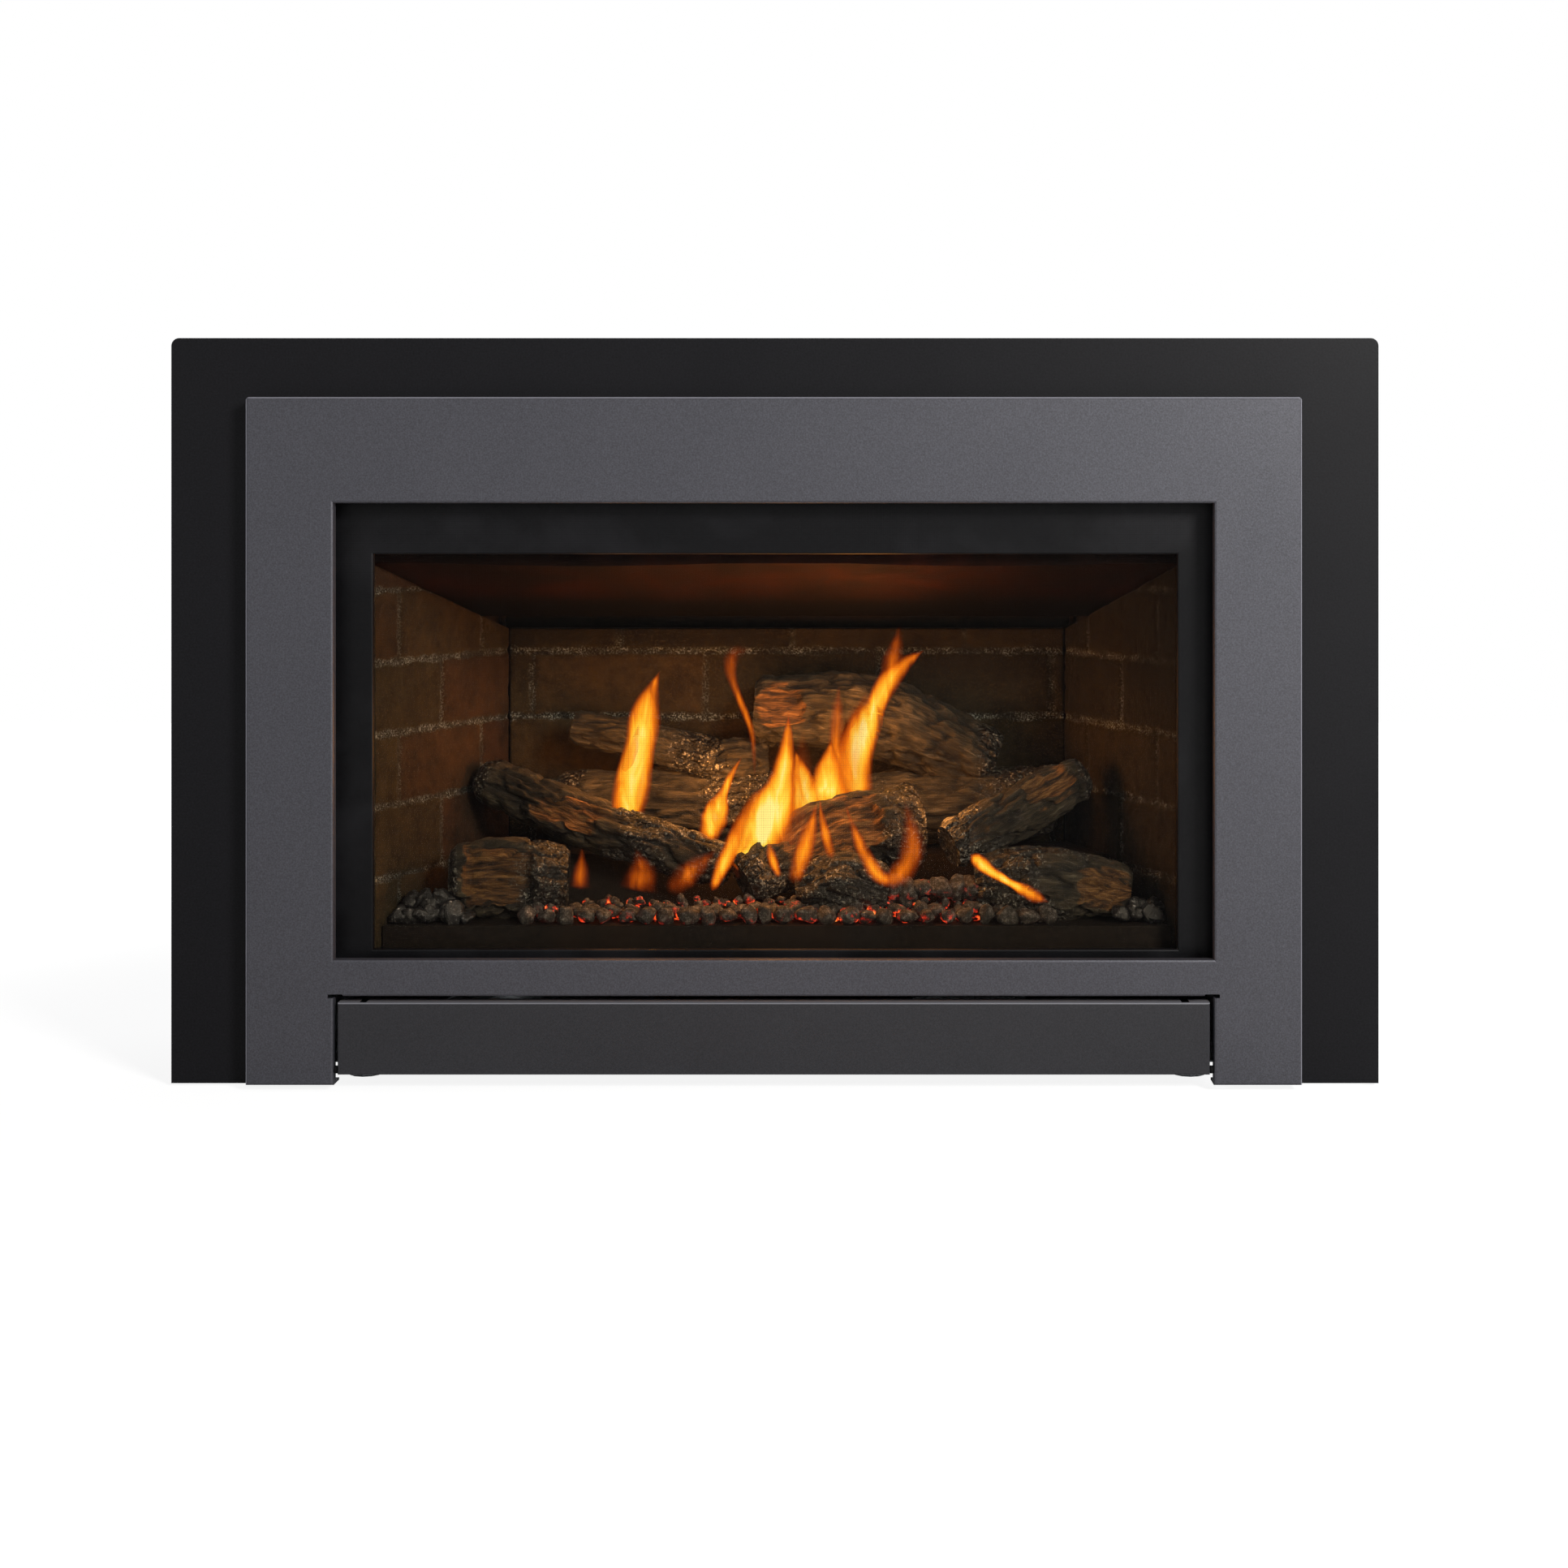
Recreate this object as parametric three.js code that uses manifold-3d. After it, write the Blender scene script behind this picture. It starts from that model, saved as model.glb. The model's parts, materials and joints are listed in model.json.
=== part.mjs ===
// A gas fireplace insert: a sheet-steel casing with a brick-lined firebox and a ceramic log set,
// closed by a framed glass, with a backer frame and a grey overlay with a drop-down control door.
// Millimetres. X to the right seen from the room, Y into the fireplace, Z up. Y = 0 is the wall
// facing while the parts are drawn; the group is then centred front to back on its own depth.

import * as THREE from 'three';
import { mergeVertices } from 'three/addons/utils/BufferGeometryUtils.js';
import Module from 'manifold-3d';

const wasm = await Module();
wasm.setup();

// ---------------------------------------------------------------- driving dimensions

const CLEAR = 0.3; // gap kept where one piece is seated on, or cut by, another
const SHEET = 1.5; // sheet steel of casing, backer and door

// backer frame: the black frame against the facing
const BACKER_HALF = 533.5;
const BACKER_BOTTOM = 2.5;
const BACKER_TOP = 661;
const BACKER_DEPTH = 20.5;
const BACKER_OPENING_TOP = 540;
const BACKER_PLAY = 6; // room between the backer's opening and the casing
const BACKER_CORNER = 7;

// overlay: the grey frame in front of the backer
const OVERLAY_REVEAL = 71.5; // backer seen on each side of the overlay
const OVERLAY_BOTTOM = 5.8;
const OVERLAY_TOP = 607.7;
const OVERLAY_STANDOFF = 23.5; // face of the overlay ahead of the backer's face
const OVERLAY_SHEET = 2;
const OVERLAY_BEND = 2;
const OVERLAY_CORNER = 3;
const WINDOW_HALF = 385;
const WINDOW_BOTTOM = 115.7;
const WINDOW_TOP = 514.8;
const CROSSPIECE = 32;
const INNER_RETURN = 10;
const RELIEF_WIDTH = 13;
const RELIEF_HEIGHT = 3.5;

// hooks that the overlay hangs on
const HOOK_X = 300;
const HOOK_WIDTH = 60;
const HOOK_BASE = 560;
const HOOK_LIP = 18;
const HOOK_REACH = 8;
const HANGER_LEG = 14;

// control door
const DOOR_SIDE_GAP = 3.5;
const DOOR_TOP_GAP = 5.8;
const DOOR_HEIGHT = 63;
const DOOR_RETURN = 20;
const DOOR_NOTCH = 7;
const DOOR_NOTCH_INSET = 17.5;
const PIN_RADIUS = 1.6;
const PIN_RUNNING = 0.3;
const PIN_SETBACK = 4;
const PIN_HEAD = 3.5;
const PIN_REACH = 9;

// barrier screen behind the window of the overlay
const SCREEN_RAIL = 14;
const SCREEN_DEPTH = 3;
const SCREEN_WIRE = 1.2;
const SCREEN_COLUMNS = 12;
const SCREEN_ROWS = 6;

// glass and its frame
const GLASS_BORDER = 35.5; // width of the frame at the sides of the view
const GLASS_FRAME_BOTTOM = 101;
const GLASS_FRAME_TOP = 530;
const GLASS_FRAME_FRONT = -14;
const GLASS_FRAME_DEPTH = 12;
const GLASS_FRAME_BEND = 1.5;
const VIEW_HALF = 356.5;
const VIEW_BOTTOM = 119.5;
const VIEW_TOP = 470;
const GLASS_LAP = 10;
const GLASS_THICKNESS = 5;
const GASKET_WIDTH = 8;
const LATCH_X = 250;
const LATCH_WIDTH = 26;

// casing
const CASING_PLAY = 6; // room between the glass frame and the casing
const CASING_TAPER = 98; // how much narrower each side is at the rear
const CASING_FRONT = -15;
const CASING_SHOULDER = 90;
const CASING_BACK = 400;
const CASING_BOTTOM = 20;
const CASING_TOP = 545;
const FLANGE_WIDTH = 26;
const FLANGE_LAP = 38;
const FOOT_PAD = 16;
const FOOT_STEM = 5;
const FOOT_INSET_FRONT = 26;
const FOOT_INSET_REAR = 60;
const FOOT_Y_FRONT = 30;
const FOOT_Y_REAR = 360;

// firebox and its brick panels
const FACE_FRONT = 4;
const FACE_MARGIN = 2; // firebox face beyond the glass frame
const FACE_BOTTOM = 100;
const FACE_TOP = 536;
const FACE_LAP = 4.5;
const FLOOR_TOP = 115.2;
const BRICK_FRONT = 6.3;
const BRICK_BACK = 236;
const BRICK_REVEAL = 1.7; // from the edge of the view to the face of the side bricks
const WALL_TAPER = 83.6; // how far each side wall runs in towards the back
const BRICK_TOP_FRONT = 460;
const BRICK_TOP_BACK = 394;
const PANEL_THICKNESS = 18;
const MORTAR_DEPTH = 3;
const MORTAR_WIDTH = 8;
const COURSE_PITCH = 65;
const COURSE_TOP = 372; // height of a mortar line on the back panel
const BRICK_PITCH = 171.7;
const BRICK_START = -166; // a vertical joint of the back panel, in the row below COURSE_TOP
const SIDE_BRICK_PITCH = 150;
const SIDE_BRICK_START = 42;
const ROOF_BOTTOM = 488;

// baffle under the roof
const BAFFLE_FRONT = 8;
const BAFFLE_REAR = 195;
const BAFFLE_LIP = 12;
const CLAMP_LEFT = [-299, -50];
const CLAMP_RIGHT = [65, 311];
const CLAMP_BOTTOM = 459;
const CLAMP_TOP = 482;
const CLAMP_BOW = 2.5;
const NUT_RADIUS = 6;

// burner pan
const PAN_SHEET = 2;
const PAN_FRONT = 14;
const PAN_DECK = 136;
const PAN_STEP = 118;
const PAN_RISE = 18;
const PAN_REAR_DECK = 184;
const PAN_BACK = 230;
const PAN_SIDE_GAP = 1.5;
const BURNER_HALF = 225;
const BURNER_Y = 78;
const BURNER_HEIGHT = 12;
const BURNER_WIDTH = 34;

// vents on the top
const COLLAR_RADIUS = 38;
const COLLAR_WALL = 1;
const COLLAR_HEIGHT = 72;
const COLLAR_SOCKET = 22;
const COLLAR_BEAD = 2;
const COLLAR_X = 78;
const COLLAR_Y = 310;
const FLUE_HALF = 52;
const FLUE_DEPTH = 100;
const FLUE_BOTTOM = 440;
const SLOT_INSET = 6;

// ---------------------------------------------------------------- derived places

const backerFace = -BACKER_DEPTH;
const overlayHalf = BACKER_HALF - OVERLAY_REVEAL;
const glassFrameHalf = VIEW_HALF + GLASS_BORDER;
const casingHalf = glassFrameHalf + CASING_PLAY;
const casingRearHalf = casingHalf - CASING_TAPER;
const backerOpeningHalf = casingHalf + BACKER_PLAY;
const footFrontX = casingHalf - FOOT_INSET_FRONT;
const footRearX = casingRearHalf - FOOT_INSET_REAR;
const faceHalf = glassFrameHalf + FACE_MARGIN;
const brickFrontHalf = VIEW_HALF + BRICK_REVEAL;
const brickBackHalf = brickFrontHalf - WALL_TAPER;
const overlayFace = backerFace - OVERLAY_STANDOFF;
const overlayBack = backerFace - CLEAR;
const crosspieceBottom = WINDOW_BOTTOM - CROSSPIECE;
const doorHalf = WINDOW_HALF - DOOR_SIDE_GAP;
const doorTop = crosspieceBottom - DOOR_TOP_GAP;
const doorBottom = doorTop - DOOR_HEIGHT;
const doorFace = overlayFace + 0.5;
const doorPin = { y: doorFace + PIN_SETBACK, z: doorBottom + PIN_SETBACK };
const screenFront = overlayFace + INNER_RETURN + CLEAR;
const screenBack = screenFront + SCREEN_DEPTH;
const glassFront = GLASS_FRAME_FRONT + GLASS_FRAME_DEPTH - GLASS_THICKNESS - CLEAR;
const glassHalf = VIEW_HALF + GLASS_LAP;
const glassBottom = VIEW_BOTTOM - GLASS_LAP;
const glassTop = VIEW_TOP + GLASS_LAP;
const faceBack = FACE_FRONT + SHEET;
const casingFloor = CASING_BOTTOM + SHEET;
const casingCeiling = CASING_TOP - SHEET;
const wallAngle = Math.atan2(brickFrontHalf - brickBackHalf, BRICK_BACK - BRICK_FRONT);
const wallLength = Math.hypot(brickFrontHalf - brickBackHalf, BRICK_BACK - BRICK_FRONT);
const roofSlope = (BRICK_TOP_BACK - BRICK_TOP_FRONT) / (BRICK_BACK - BRICK_FRONT);
const shellOffset = PANEL_THICKNESS + CLEAR;
const shellBack = BRICK_BACK + shellOffset;
const flueFront = shellBack + SHEET + CLEAR;

// ---------------------------------------------------------------- finishes

const finish = (color, roughness, metalness, opacity = 1) =>
  new THREE.MeshStandardMaterial({ color, roughness, metalness, opacity, transparent: opacity < 1 });

const FINISHES = {
  blackCoat: finish(0x1b1b1d, 0.45, 0.3),
  greyCoat: finish(0x565659, 0.5, 0.5),
  darkCoat: finish(0x39393c, 0.5, 0.4),
  satinBlack: finish(0x202022, 0.5, 0.3),
  galvanised: finish(0x9a9c9e, 0.45, 0.8),
  glass: finish(0xdfe3e3, 0.05, 0, 0.2),
  rope: finish(0x4a4a48, 0.95, 0),
  brick: finish(0x6e4a38, 0.9, 0),
  stove: finish(0x242220, 0.7, 0.3),
  log: finish(0x8a6548, 0.95, 0),
  ember: finish(0x6f6a64, 0.95, 0),
  lava: finish(0x3c3b3a, 0.95, 0),
  plastic: finish(0x161616, 0.5, 0),
  brass: finish(0xb08d4a, 0.4, 0.9),
  aluminium: finish(0xb5b7b8, 0.4, 0.9),
};

const insert = new THREE.Group();

// ---------------------------------------------------------------- solids

// a closed geometry as a solid that can be joined and cut
function solid(geometry) {
  const bare = geometry.clone();
  bare.deleteAttribute('normal');
  bare.deleteAttribute('uv');
  const merged = mergeVertices(bare, 1e-4);
  return new wasm.Manifold(new wasm.Mesh({
    numProp: 3,
    vertProperties: new Float32Array(merged.attributes.position.array),
    triVerts: new Uint32Array(merged.index.array),
  }));
}

// a solid as a geometry for a mesh
function surface(body) {
  const { vertProperties, triVerts, numProp } = body.getMesh();
  const positions = new Float32Array((vertProperties.length / numProp) * 3);
  for (let i = 0; i < positions.length / 3; i += 1) {
    positions.set(vertProperties.subarray(i * numProp, i * numProp + 3), i * 3);
  }
  const geometry = new THREE.BufferGeometry();
  geometry.setAttribute('position', new THREE.BufferAttribute(positions, 3));
  geometry.setIndex(new THREE.BufferAttribute(new Uint32Array(triVerts), 1));
  return geometry;
}

const join = (...bodies) => bodies.reduce((sum, body) => sum.add(body));
const cut = (body, ...tools) => tools.reduce((rest, tool) => rest.subtract(tool), body);

// names a piece and puts it in the group
function place(name, body, material) {
  const geometry = surface(body);
  geometry.computeVertexNormals();
  const mesh = new THREE.Mesh(geometry, material);
  mesh.name = name;
  insert.add(mesh);
  return mesh;
}

// the same solid on the other side of the plane X = 0
function mirrored(body) {
  const geometry = surface(body);
  geometry.scale(-1, 1, 1);
  const index = geometry.index.array;
  for (let i = 0; i < index.length; i += 3) {
    [index[i + 1], index[i + 2]] = [index[i + 2], index[i + 1]];
  }
  return solid(geometry);
}

function box(x0, x1, y0, y1, z0, z1) {
  const geometry = new THREE.BoxGeometry(x1 - x0, y1 - y0, z1 - z0);
  geometry.translate((x0 + x1) / 2, (y0 + y1) / 2, (z0 + z1) / 2);
  return solid(geometry);
}

// an outline drawn in X and Z, carried along Y from front to back
function prismXZ(shape, front, back) {
  const geometry = new THREE.ExtrudeGeometry(shape, {
    depth: back - front, bevelEnabled: false, curveSegments: 5,
  });
  geometry.rotateX(Math.PI / 2);
  geometry.translate(0, back, 0);
  return solid(geometry);
}

// an outline drawn in X and Y, carried up from bottom to top
function prismXY(shape, bottom, top) {
  const geometry = new THREE.ExtrudeGeometry(shape, {
    depth: top - bottom, bevelEnabled: false, curveSegments: 8,
  });
  geometry.translate(0, 0, bottom);
  return solid(geometry);
}

const ALONG_X = new THREE.Matrix4().makeBasis(
  new THREE.Vector3(0, 1, 0), new THREE.Vector3(0, 0, 1), new THREE.Vector3(1, 0, 0),
);

// an outline drawn in Y and Z, carried along X from left to right
function prismYZ(shape, left, right) {
  const geometry = new THREE.ExtrudeGeometry(shape, {
    depth: right - left, bevelEnabled: false, curveSegments: 8,
  });
  geometry.applyMatrix4(ALONG_X);
  geometry.translate(left, 0, 0);
  return solid(geometry);
}

// a pan pressed from sheet: the outline carried back, with its front edges bent round a radius
function pressing(shape, front, back, bend) {
  const geometry = new THREE.ExtrudeGeometry(shape, {
    depth: back - front,
    bevelEnabled: true,
    bevelThickness: bend,
    bevelSize: bend,
    bevelOffset: -bend,
    bevelSegments: 2,
    curveSegments: 4,
  });
  geometry.rotateX(Math.PI / 2);
  geometry.translate(0, back + bend, 0);
  const beyond = 2 * BACKER_HALF;
  return cut(solid(geometry), box(-beyond, beyond, back, back + 4 * bend, -BACKER_TOP, 2 * BACKER_TOP));
}

function cylinder(radius, length, sides, axis, x, y, z) {
  const geometry = new THREE.CylinderGeometry(radius, radius, length, sides);
  if (axis === 'x') geometry.rotateZ(Math.PI / 2);
  if (axis === 'z') geometry.rotateX(Math.PI / 2);
  geometry.translate(x, y, z);
  return solid(geometry);
}

// a profile of radius and height turned about an upright axis
function turned(profile, sides, x, y) {
  const points = profile.map(([radius, height]) => new THREE.Vector2(radius, height));
  const geometry = new THREE.LatheGeometry(points, sides);
  geometry.rotateX(Math.PI / 2);
  geometry.translate(x, y, 0);
  return solid(geometry);
}

const outline = (points) => new THREE.Shape(points.map(([a, b]) => new THREE.Vector2(a, b)));
const rectangle = (a0, a1, b0, b1) => outline([[a0, b0], [a1, b0], [a1, b1], [a0, b1]]);

// an upright frame with two legs and a head, round at its upper corners
function archShape(outer, inner, bottom, springing, top, radius) {
  const shape = new THREE.Shape();
  shape.moveTo(-outer, bottom);
  shape.lineTo(-inner, bottom);
  shape.lineTo(-inner, springing);
  shape.lineTo(inner, springing);
  shape.lineTo(inner, bottom);
  shape.lineTo(outer, bottom);
  shape.lineTo(outer, top - radius);
  shape.absarc(outer - radius, top - radius, radius, 0, Math.PI / 2, false);
  shape.lineTo(radius - outer, top);
  shape.absarc(radius - outer, top - radius, radius, Math.PI / 2, Math.PI, false);
  return shape;
}

// a rectangular ring in X and Z
function ringShape(half, bottom, top, holeHalf, holeBottom, holeTop) {
  const shape = rectangle(-half, half, bottom, top);
  shape.holes.push(rectangle(-holeHalf, holeHalf, holeBottom, holeTop));
  return shape;
}

// a bent strip: a line of points given a thickness to its left
function stripShape(points, thickness) {
  const line = points.map(([a, b]) => new THREE.Vector2(a, b));
  const offset = line.map((point, i) => {
    const before = i > 0 ? point.clone().sub(line[i - 1]).normalize() : null;
    const after = i < line.length - 1 ? line[i + 1].clone().sub(point).normalize() : null;
    const along = (before ?? after).clone().add(after ?? before).normalize();
    const reference = before ?? after;
    const mitre = thickness / Math.max(0.3, along.dot(reference));
    return new THREE.Vector2(point.x - along.y * mitre, point.y + along.x * mitre);
  });
  return new THREE.Shape([...line, ...offset.reverse()]);
}

// a repeatable stream of numbers from 0 to 1
function randomStream(seed) {
  let state = seed;
  return () => {
    state = (state * 16807) % 2147483647;
    return state / 2147483647;
  };
}

// ---------------------------------------------------------------- backer frame

function buildBacker() {
  const frame = prismXZ(archShape(
    BACKER_HALF, backerOpeningHalf, BACKER_BOTTOM, BACKER_OPENING_TOP, BACKER_TOP, BACKER_CORNER,
  ), backerFace, 0);
  const hollow = prismXZ(archShape(
    BACKER_HALF - SHEET, 1, BACKER_BOTTOM - 1, BACKER_BOTTOM, BACKER_TOP - SHEET, BACKER_CORNER - SHEET,
  ), backerFace + SHEET, 1);
  const filler = box(-1.5, 1.5, backerFace + SHEET, 1, BACKER_BOTTOM - 1, BACKER_TOP - SHEET);
  // hook brackets welded to the head: a base, a shelf and an upturned lip
  const hooks = [-HOOK_X, HOOK_X].map((x) => {
    const profile = stripShape([
      [backerFace - SHEET - HOOK_REACH - SHEET, HOOK_BASE + HOOK_LIP],
      [backerFace - SHEET - HOOK_REACH - SHEET, HOOK_BASE],
      [backerFace + SHEET / 2, HOOK_BASE],
    ], SHEET);
    const lip = prismYZ(profile, x - HOOK_WIDTH / 2, x + HOOK_WIDTH / 2);
    const base = box(
      x - HOOK_WIDTH / 2, x + HOOK_WIDTH / 2, backerFace - SHEET, backerFace + SHEET / 2,
      HOOK_BASE, HOOK_BASE + 2 * HOOK_LIP,
    );
    return join(lip, base);
  });
  place('backer_frame', join(cut(frame, hollow, filler), ...hooks), FINISHES.blackCoat);
}

// ---------------------------------------------------------------- overlay, screen and door

function buildOverlay() {
  const shape = archShape(
    overlayHalf, WINDOW_HALF, OVERLAY_BOTTOM, crosspieceBottom, OVERLAY_TOP, OVERLAY_CORNER,
  );
  shape.holes.push(rectangle(-WINDOW_HALF, WINDOW_HALF, WINDOW_BOTTOM, WINDOW_TOP));
  const pan = pressing(shape, overlayFace, overlayBack, OVERLAY_BEND);

  const t = OVERLAY_SHEET;
  const hollowShape = archShape(
    overlayHalf - t, WINDOW_HALF + t, OVERLAY_BOTTOM + t, crosspieceBottom + t, OVERLAY_TOP - t, 1,
  );
  hollowShape.holes.push(rectangle(-WINDOW_HALF - t, WINDOW_HALF + t, WINDOW_BOTTOM - t, WINDOW_TOP + t));
  const hollow = prismXZ(hollowShape, overlayFace + t, overlayBack + 1);
  const behindReturns = box(
    t - overlayHalf, overlayHalf - t, overlayFace + INNER_RETURN, overlayBack + 1,
    OVERLAY_BOTTOM + t, OVERLAY_TOP - t,
  );

  // bend reliefs where the returns of leg and crosspiece meet
  const reliefs = [-1, 1].map((side) => {
    const centre = side * (WINDOW_HALF - RELIEF_WIDTH / 2 + 5);
    return box(
      centre - RELIEF_WIDTH / 2, centre + RELIEF_WIDTH / 2, overlayFace - 1, overlayFace + INNER_RETURN + 1,
      crosspieceBottom - RELIEF_HEIGHT / 2, crosspieceBottom + RELIEF_HEIGHT / 2,
    );
  });

  // hangers welded inside the head: a web out from the face and a leg down into the hook
  const seat = HOOK_BASE + HOOK_LIP + CLEAR;
  const legBack = backerFace - SHEET - HOOK_REACH / 2 + SHEET / 2;
  const hangers = [-HOOK_X, HOOK_X].map((x) => {
    const reach = [x - HOOK_WIDTH / 2 + 5, x + HOOK_WIDTH / 2 - 5];
    const web = box(...reach, overlayFace + t / 2, legBack, seat, seat + t);
    const leg = box(...reach, legBack - SHEET, legBack, seat - HANGER_LEG, seat + t);
    return join(web, leg);
  });
  const overlay = join(cut(pan, hollow, behindReturns, ...reliefs), ...hangers);
  place('overlay_frame', overlay, FINISHES.greyCoat);
}

function buildScreen() {
  const inner = { half: WINDOW_HALF + 1, bottom: WINDOW_BOTTOM - 1.5, top: WINDOW_TOP + 1.5 };
  const frame = prismXZ(ringShape(
    inner.half + SCREEN_RAIL, inner.bottom - SCREEN_RAIL, inner.top + SCREEN_RAIL,
    inner.half, inner.bottom, inner.top,
  ), screenFront, screenBack);
  place('barrier_screen_frame', frame, FINISHES.blackCoat);

  // the woven screen: wires across and down, joined where they cross
  const middle = (screenFront + screenBack) / 2;
  const net = wireNet(
    { low: -inner.half + CLEAR, high: inner.half - CLEAR, gaps: SCREEN_COLUMNS },
    { low: inner.bottom + CLEAR, high: inner.top - CLEAR, gaps: SCREEN_ROWS },
    middle - SCREEN_WIRE / 2, middle + SCREEN_WIRE / 2,
  );
  place('barrier_screen_mesh', net, FINISHES.blackCoat);
}

// edges of evenly spaced wires from low to high: each wire gives two of the values
function wireEdges({ low, high, gaps }) {
  const step = (high - low - SCREEN_WIRE) / gaps;
  return Array.from({ length: 2 * gaps + 2 }, (_, i) =>
    low + Math.floor(i / 2) * step + (i % 2) * SCREEN_WIRE);
}

// a flat net as one closed surface of small faces, cell by cell
function wireNet(across, upward, front, back) {
  const xs = wireEdges(across);
  const zs = wireEdges(upward);
  const isWire = (i, j) => i >= 0 && j >= 0 && i < xs.length - 1 && j < zs.length - 1
    && (i % 2 === 0 || j % 2 === 0);
  const positions = [];
  const quad = (a, b, c, d) => positions.push(...a, ...b, ...c, ...a, ...c, ...d);
  for (let i = 0; i < xs.length - 1; i += 1) {
    for (let j = 0; j < zs.length - 1; j += 1) {
      if (!isWire(i, j)) continue;
      const [x0, x1, z0, z1] = [xs[i], xs[i + 1], zs[j], zs[j + 1]];
      quad([x0, front, z0], [x1, front, z0], [x1, front, z1], [x0, front, z1]);
      quad([x0, back, z0], [x0, back, z1], [x1, back, z1], [x1, back, z0]);
      if (!isWire(i - 1, j)) quad([x0, front, z0], [x0, front, z1], [x0, back, z1], [x0, back, z0]);
      if (!isWire(i + 1, j)) quad([x1, front, z0], [x1, back, z0], [x1, back, z1], [x1, front, z1]);
      if (!isWire(i, j - 1)) quad([x0, front, z0], [x0, back, z0], [x1, back, z0], [x1, front, z0]);
      if (!isWire(i, j + 1)) quad([x0, front, z1], [x1, front, z1], [x1, back, z1], [x0, back, z1]);
    }
  }
  const geometry = new THREE.BufferGeometry();
  geometry.setAttribute('position', new THREE.Float32BufferAttribute(positions, 3));
  return solid(geometry);
}

function buildDoor() {
  const back = doorFace + DOOR_RETURN;
  const pan = pressing(rectangle(-doorHalf, doorHalf, doorBottom, doorTop), doorFace, back, SHEET);
  const hollow = box(
    SHEET - doorHalf, doorHalf - SHEET, doorFace + SHEET, back + 1, doorBottom + SHEET, doorTop - SHEET,
  );
  // notches in the top return near both ends, and the holes for the hinge pins
  const tools = [-1, 1].flatMap((side) => {
    const notch = side * (doorHalf - DOOR_NOTCH_INSET - DOOR_NOTCH / 2);
    return [
      box(notch - DOOR_NOTCH / 2, notch + DOOR_NOTCH / 2, doorFace + 2 * SHEET, back + 1,
        doorTop - 2 * SHEET, doorTop + 1),
      cylinder(PIN_RADIUS + PIN_RUNNING, 6 * SHEET, 16, 'x', side * doorHalf, doorPin.y, doorPin.z),
    ];
  });
  place('control_door', cut(pan, hollow, ...tools), FINISHES.darkCoat);

  // shouldered hinge pins riveted to the legs of the overlay
  for (const [side, name] of [[-1, 'left'], [1, 'right']]) {
    const headOut = WINDOW_HALF - CLEAR;
    const headIn = doorHalf + 0.5;
    const head = cylinder(PIN_HEAD, headOut - headIn, 16, 'x', side * (headOut + headIn) / 2,
      doorPin.y, doorPin.z);
    const stem = cylinder(PIN_RADIUS, PIN_REACH, 16, 'x', side * (headOut - PIN_REACH / 2),
      doorPin.y, doorPin.z);
    place(`door_hinge_pin_${name}`, join(head, stem), FINISHES.galvanised);
  }
}

// ---------------------------------------------------------------- glass

function buildGlass() {
  const back = GLASS_FRAME_FRONT + GLASS_FRAME_DEPTH;
  const shape = ringShape(
    glassFrameHalf, GLASS_FRAME_BOTTOM, GLASS_FRAME_TOP, VIEW_HALF, VIEW_BOTTOM, VIEW_TOP,
  );
  const frame = pressing(shape, GLASS_FRAME_FRONT, back, GLASS_FRAME_BEND);
  const rebate = box(
    -glassHalf - CLEAR, glassHalf + CLEAR, glassFront - CLEAR, back + 1, glassBottom - CLEAR, glassTop + CLEAR,
  );
  place('glass_frame', cut(frame, rebate), FINISHES.satinBlack);

  const pane = box(-glassHalf, glassHalf, glassFront, glassFront + GLASS_THICKNESS, glassBottom, glassTop);
  place('ceramic_glass', pane, FINISHES.glass);

  // rope gasket pressed between the pane and the face of the firebox
  const gasketFront = glassFront + GLASS_THICKNESS + CLEAR;
  const gasketBack = FACE_FRONT - CLEAR;
  const mid = (gasketFront + gasketBack) / 2;
  const w = GASKET_WIDTH;
  const loop = (inset, front, rear) => prismXZ(ringShape(
    glassHalf - inset, glassBottom + inset, glassTop - inset,
    glassHalf - w + inset, glassBottom + w - inset, glassTop - w + inset,
  ), front, rear);
  const rope = join(
    loop(w / 4, gasketFront, gasketBack), loop(0, mid - (mid - gasketFront) / 2, mid + (mid - gasketFront) / 2),
  );
  place('glass_gasket', rope, FINISHES.rope);

  // latches over the top of the glass frame, each hooked on its own pivot in the firebox face
  for (const [side, name] of [[-1, 'left'], [1, 'right']]) {
    const x = side * LATCH_X;
    const hook = stripShape([
      [GLASS_FRAME_FRONT - 2 * SHEET, GLASS_FRAME_TOP - 8],
      [GLASS_FRAME_FRONT - 2 * SHEET, GLASS_FRAME_TOP + 4],
      [GLASS_FRAME_FRONT + 6, GLASS_FRAME_TOP + 4],
    ].reverse(), 2 * SHEET - CLEAR);
    const blade = prismYZ(hook, x - LATCH_WIDTH / 2, x + LATCH_WIDTH / 2);
    const knuckle = cylinder(3, LATCH_WIDTH, 12, 'x', x, GLASS_FRAME_FRONT + 8, GLASS_FRAME_TOP + 4);
    place(`glass_latch_${name}`, join(blade, knuckle), FINISHES.galvanised);
  }
}

// ---------------------------------------------------------------- casing

const casingPlan = [
  [-casingHalf, CASING_FRONT], [casingHalf, CASING_FRONT], [casingHalf, CASING_SHOULDER],
  [casingRearHalf, CASING_BACK], [-casingRearHalf, CASING_BACK], [-casingHalf, CASING_SHOULDER],
];

const footPlaces = [
  [-footFrontX, FOOT_Y_FRONT], [footFrontX, FOOT_Y_FRONT],
  [-footRearX, FOOT_Y_REAR], [footRearX, FOOT_Y_REAR],
];

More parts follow.
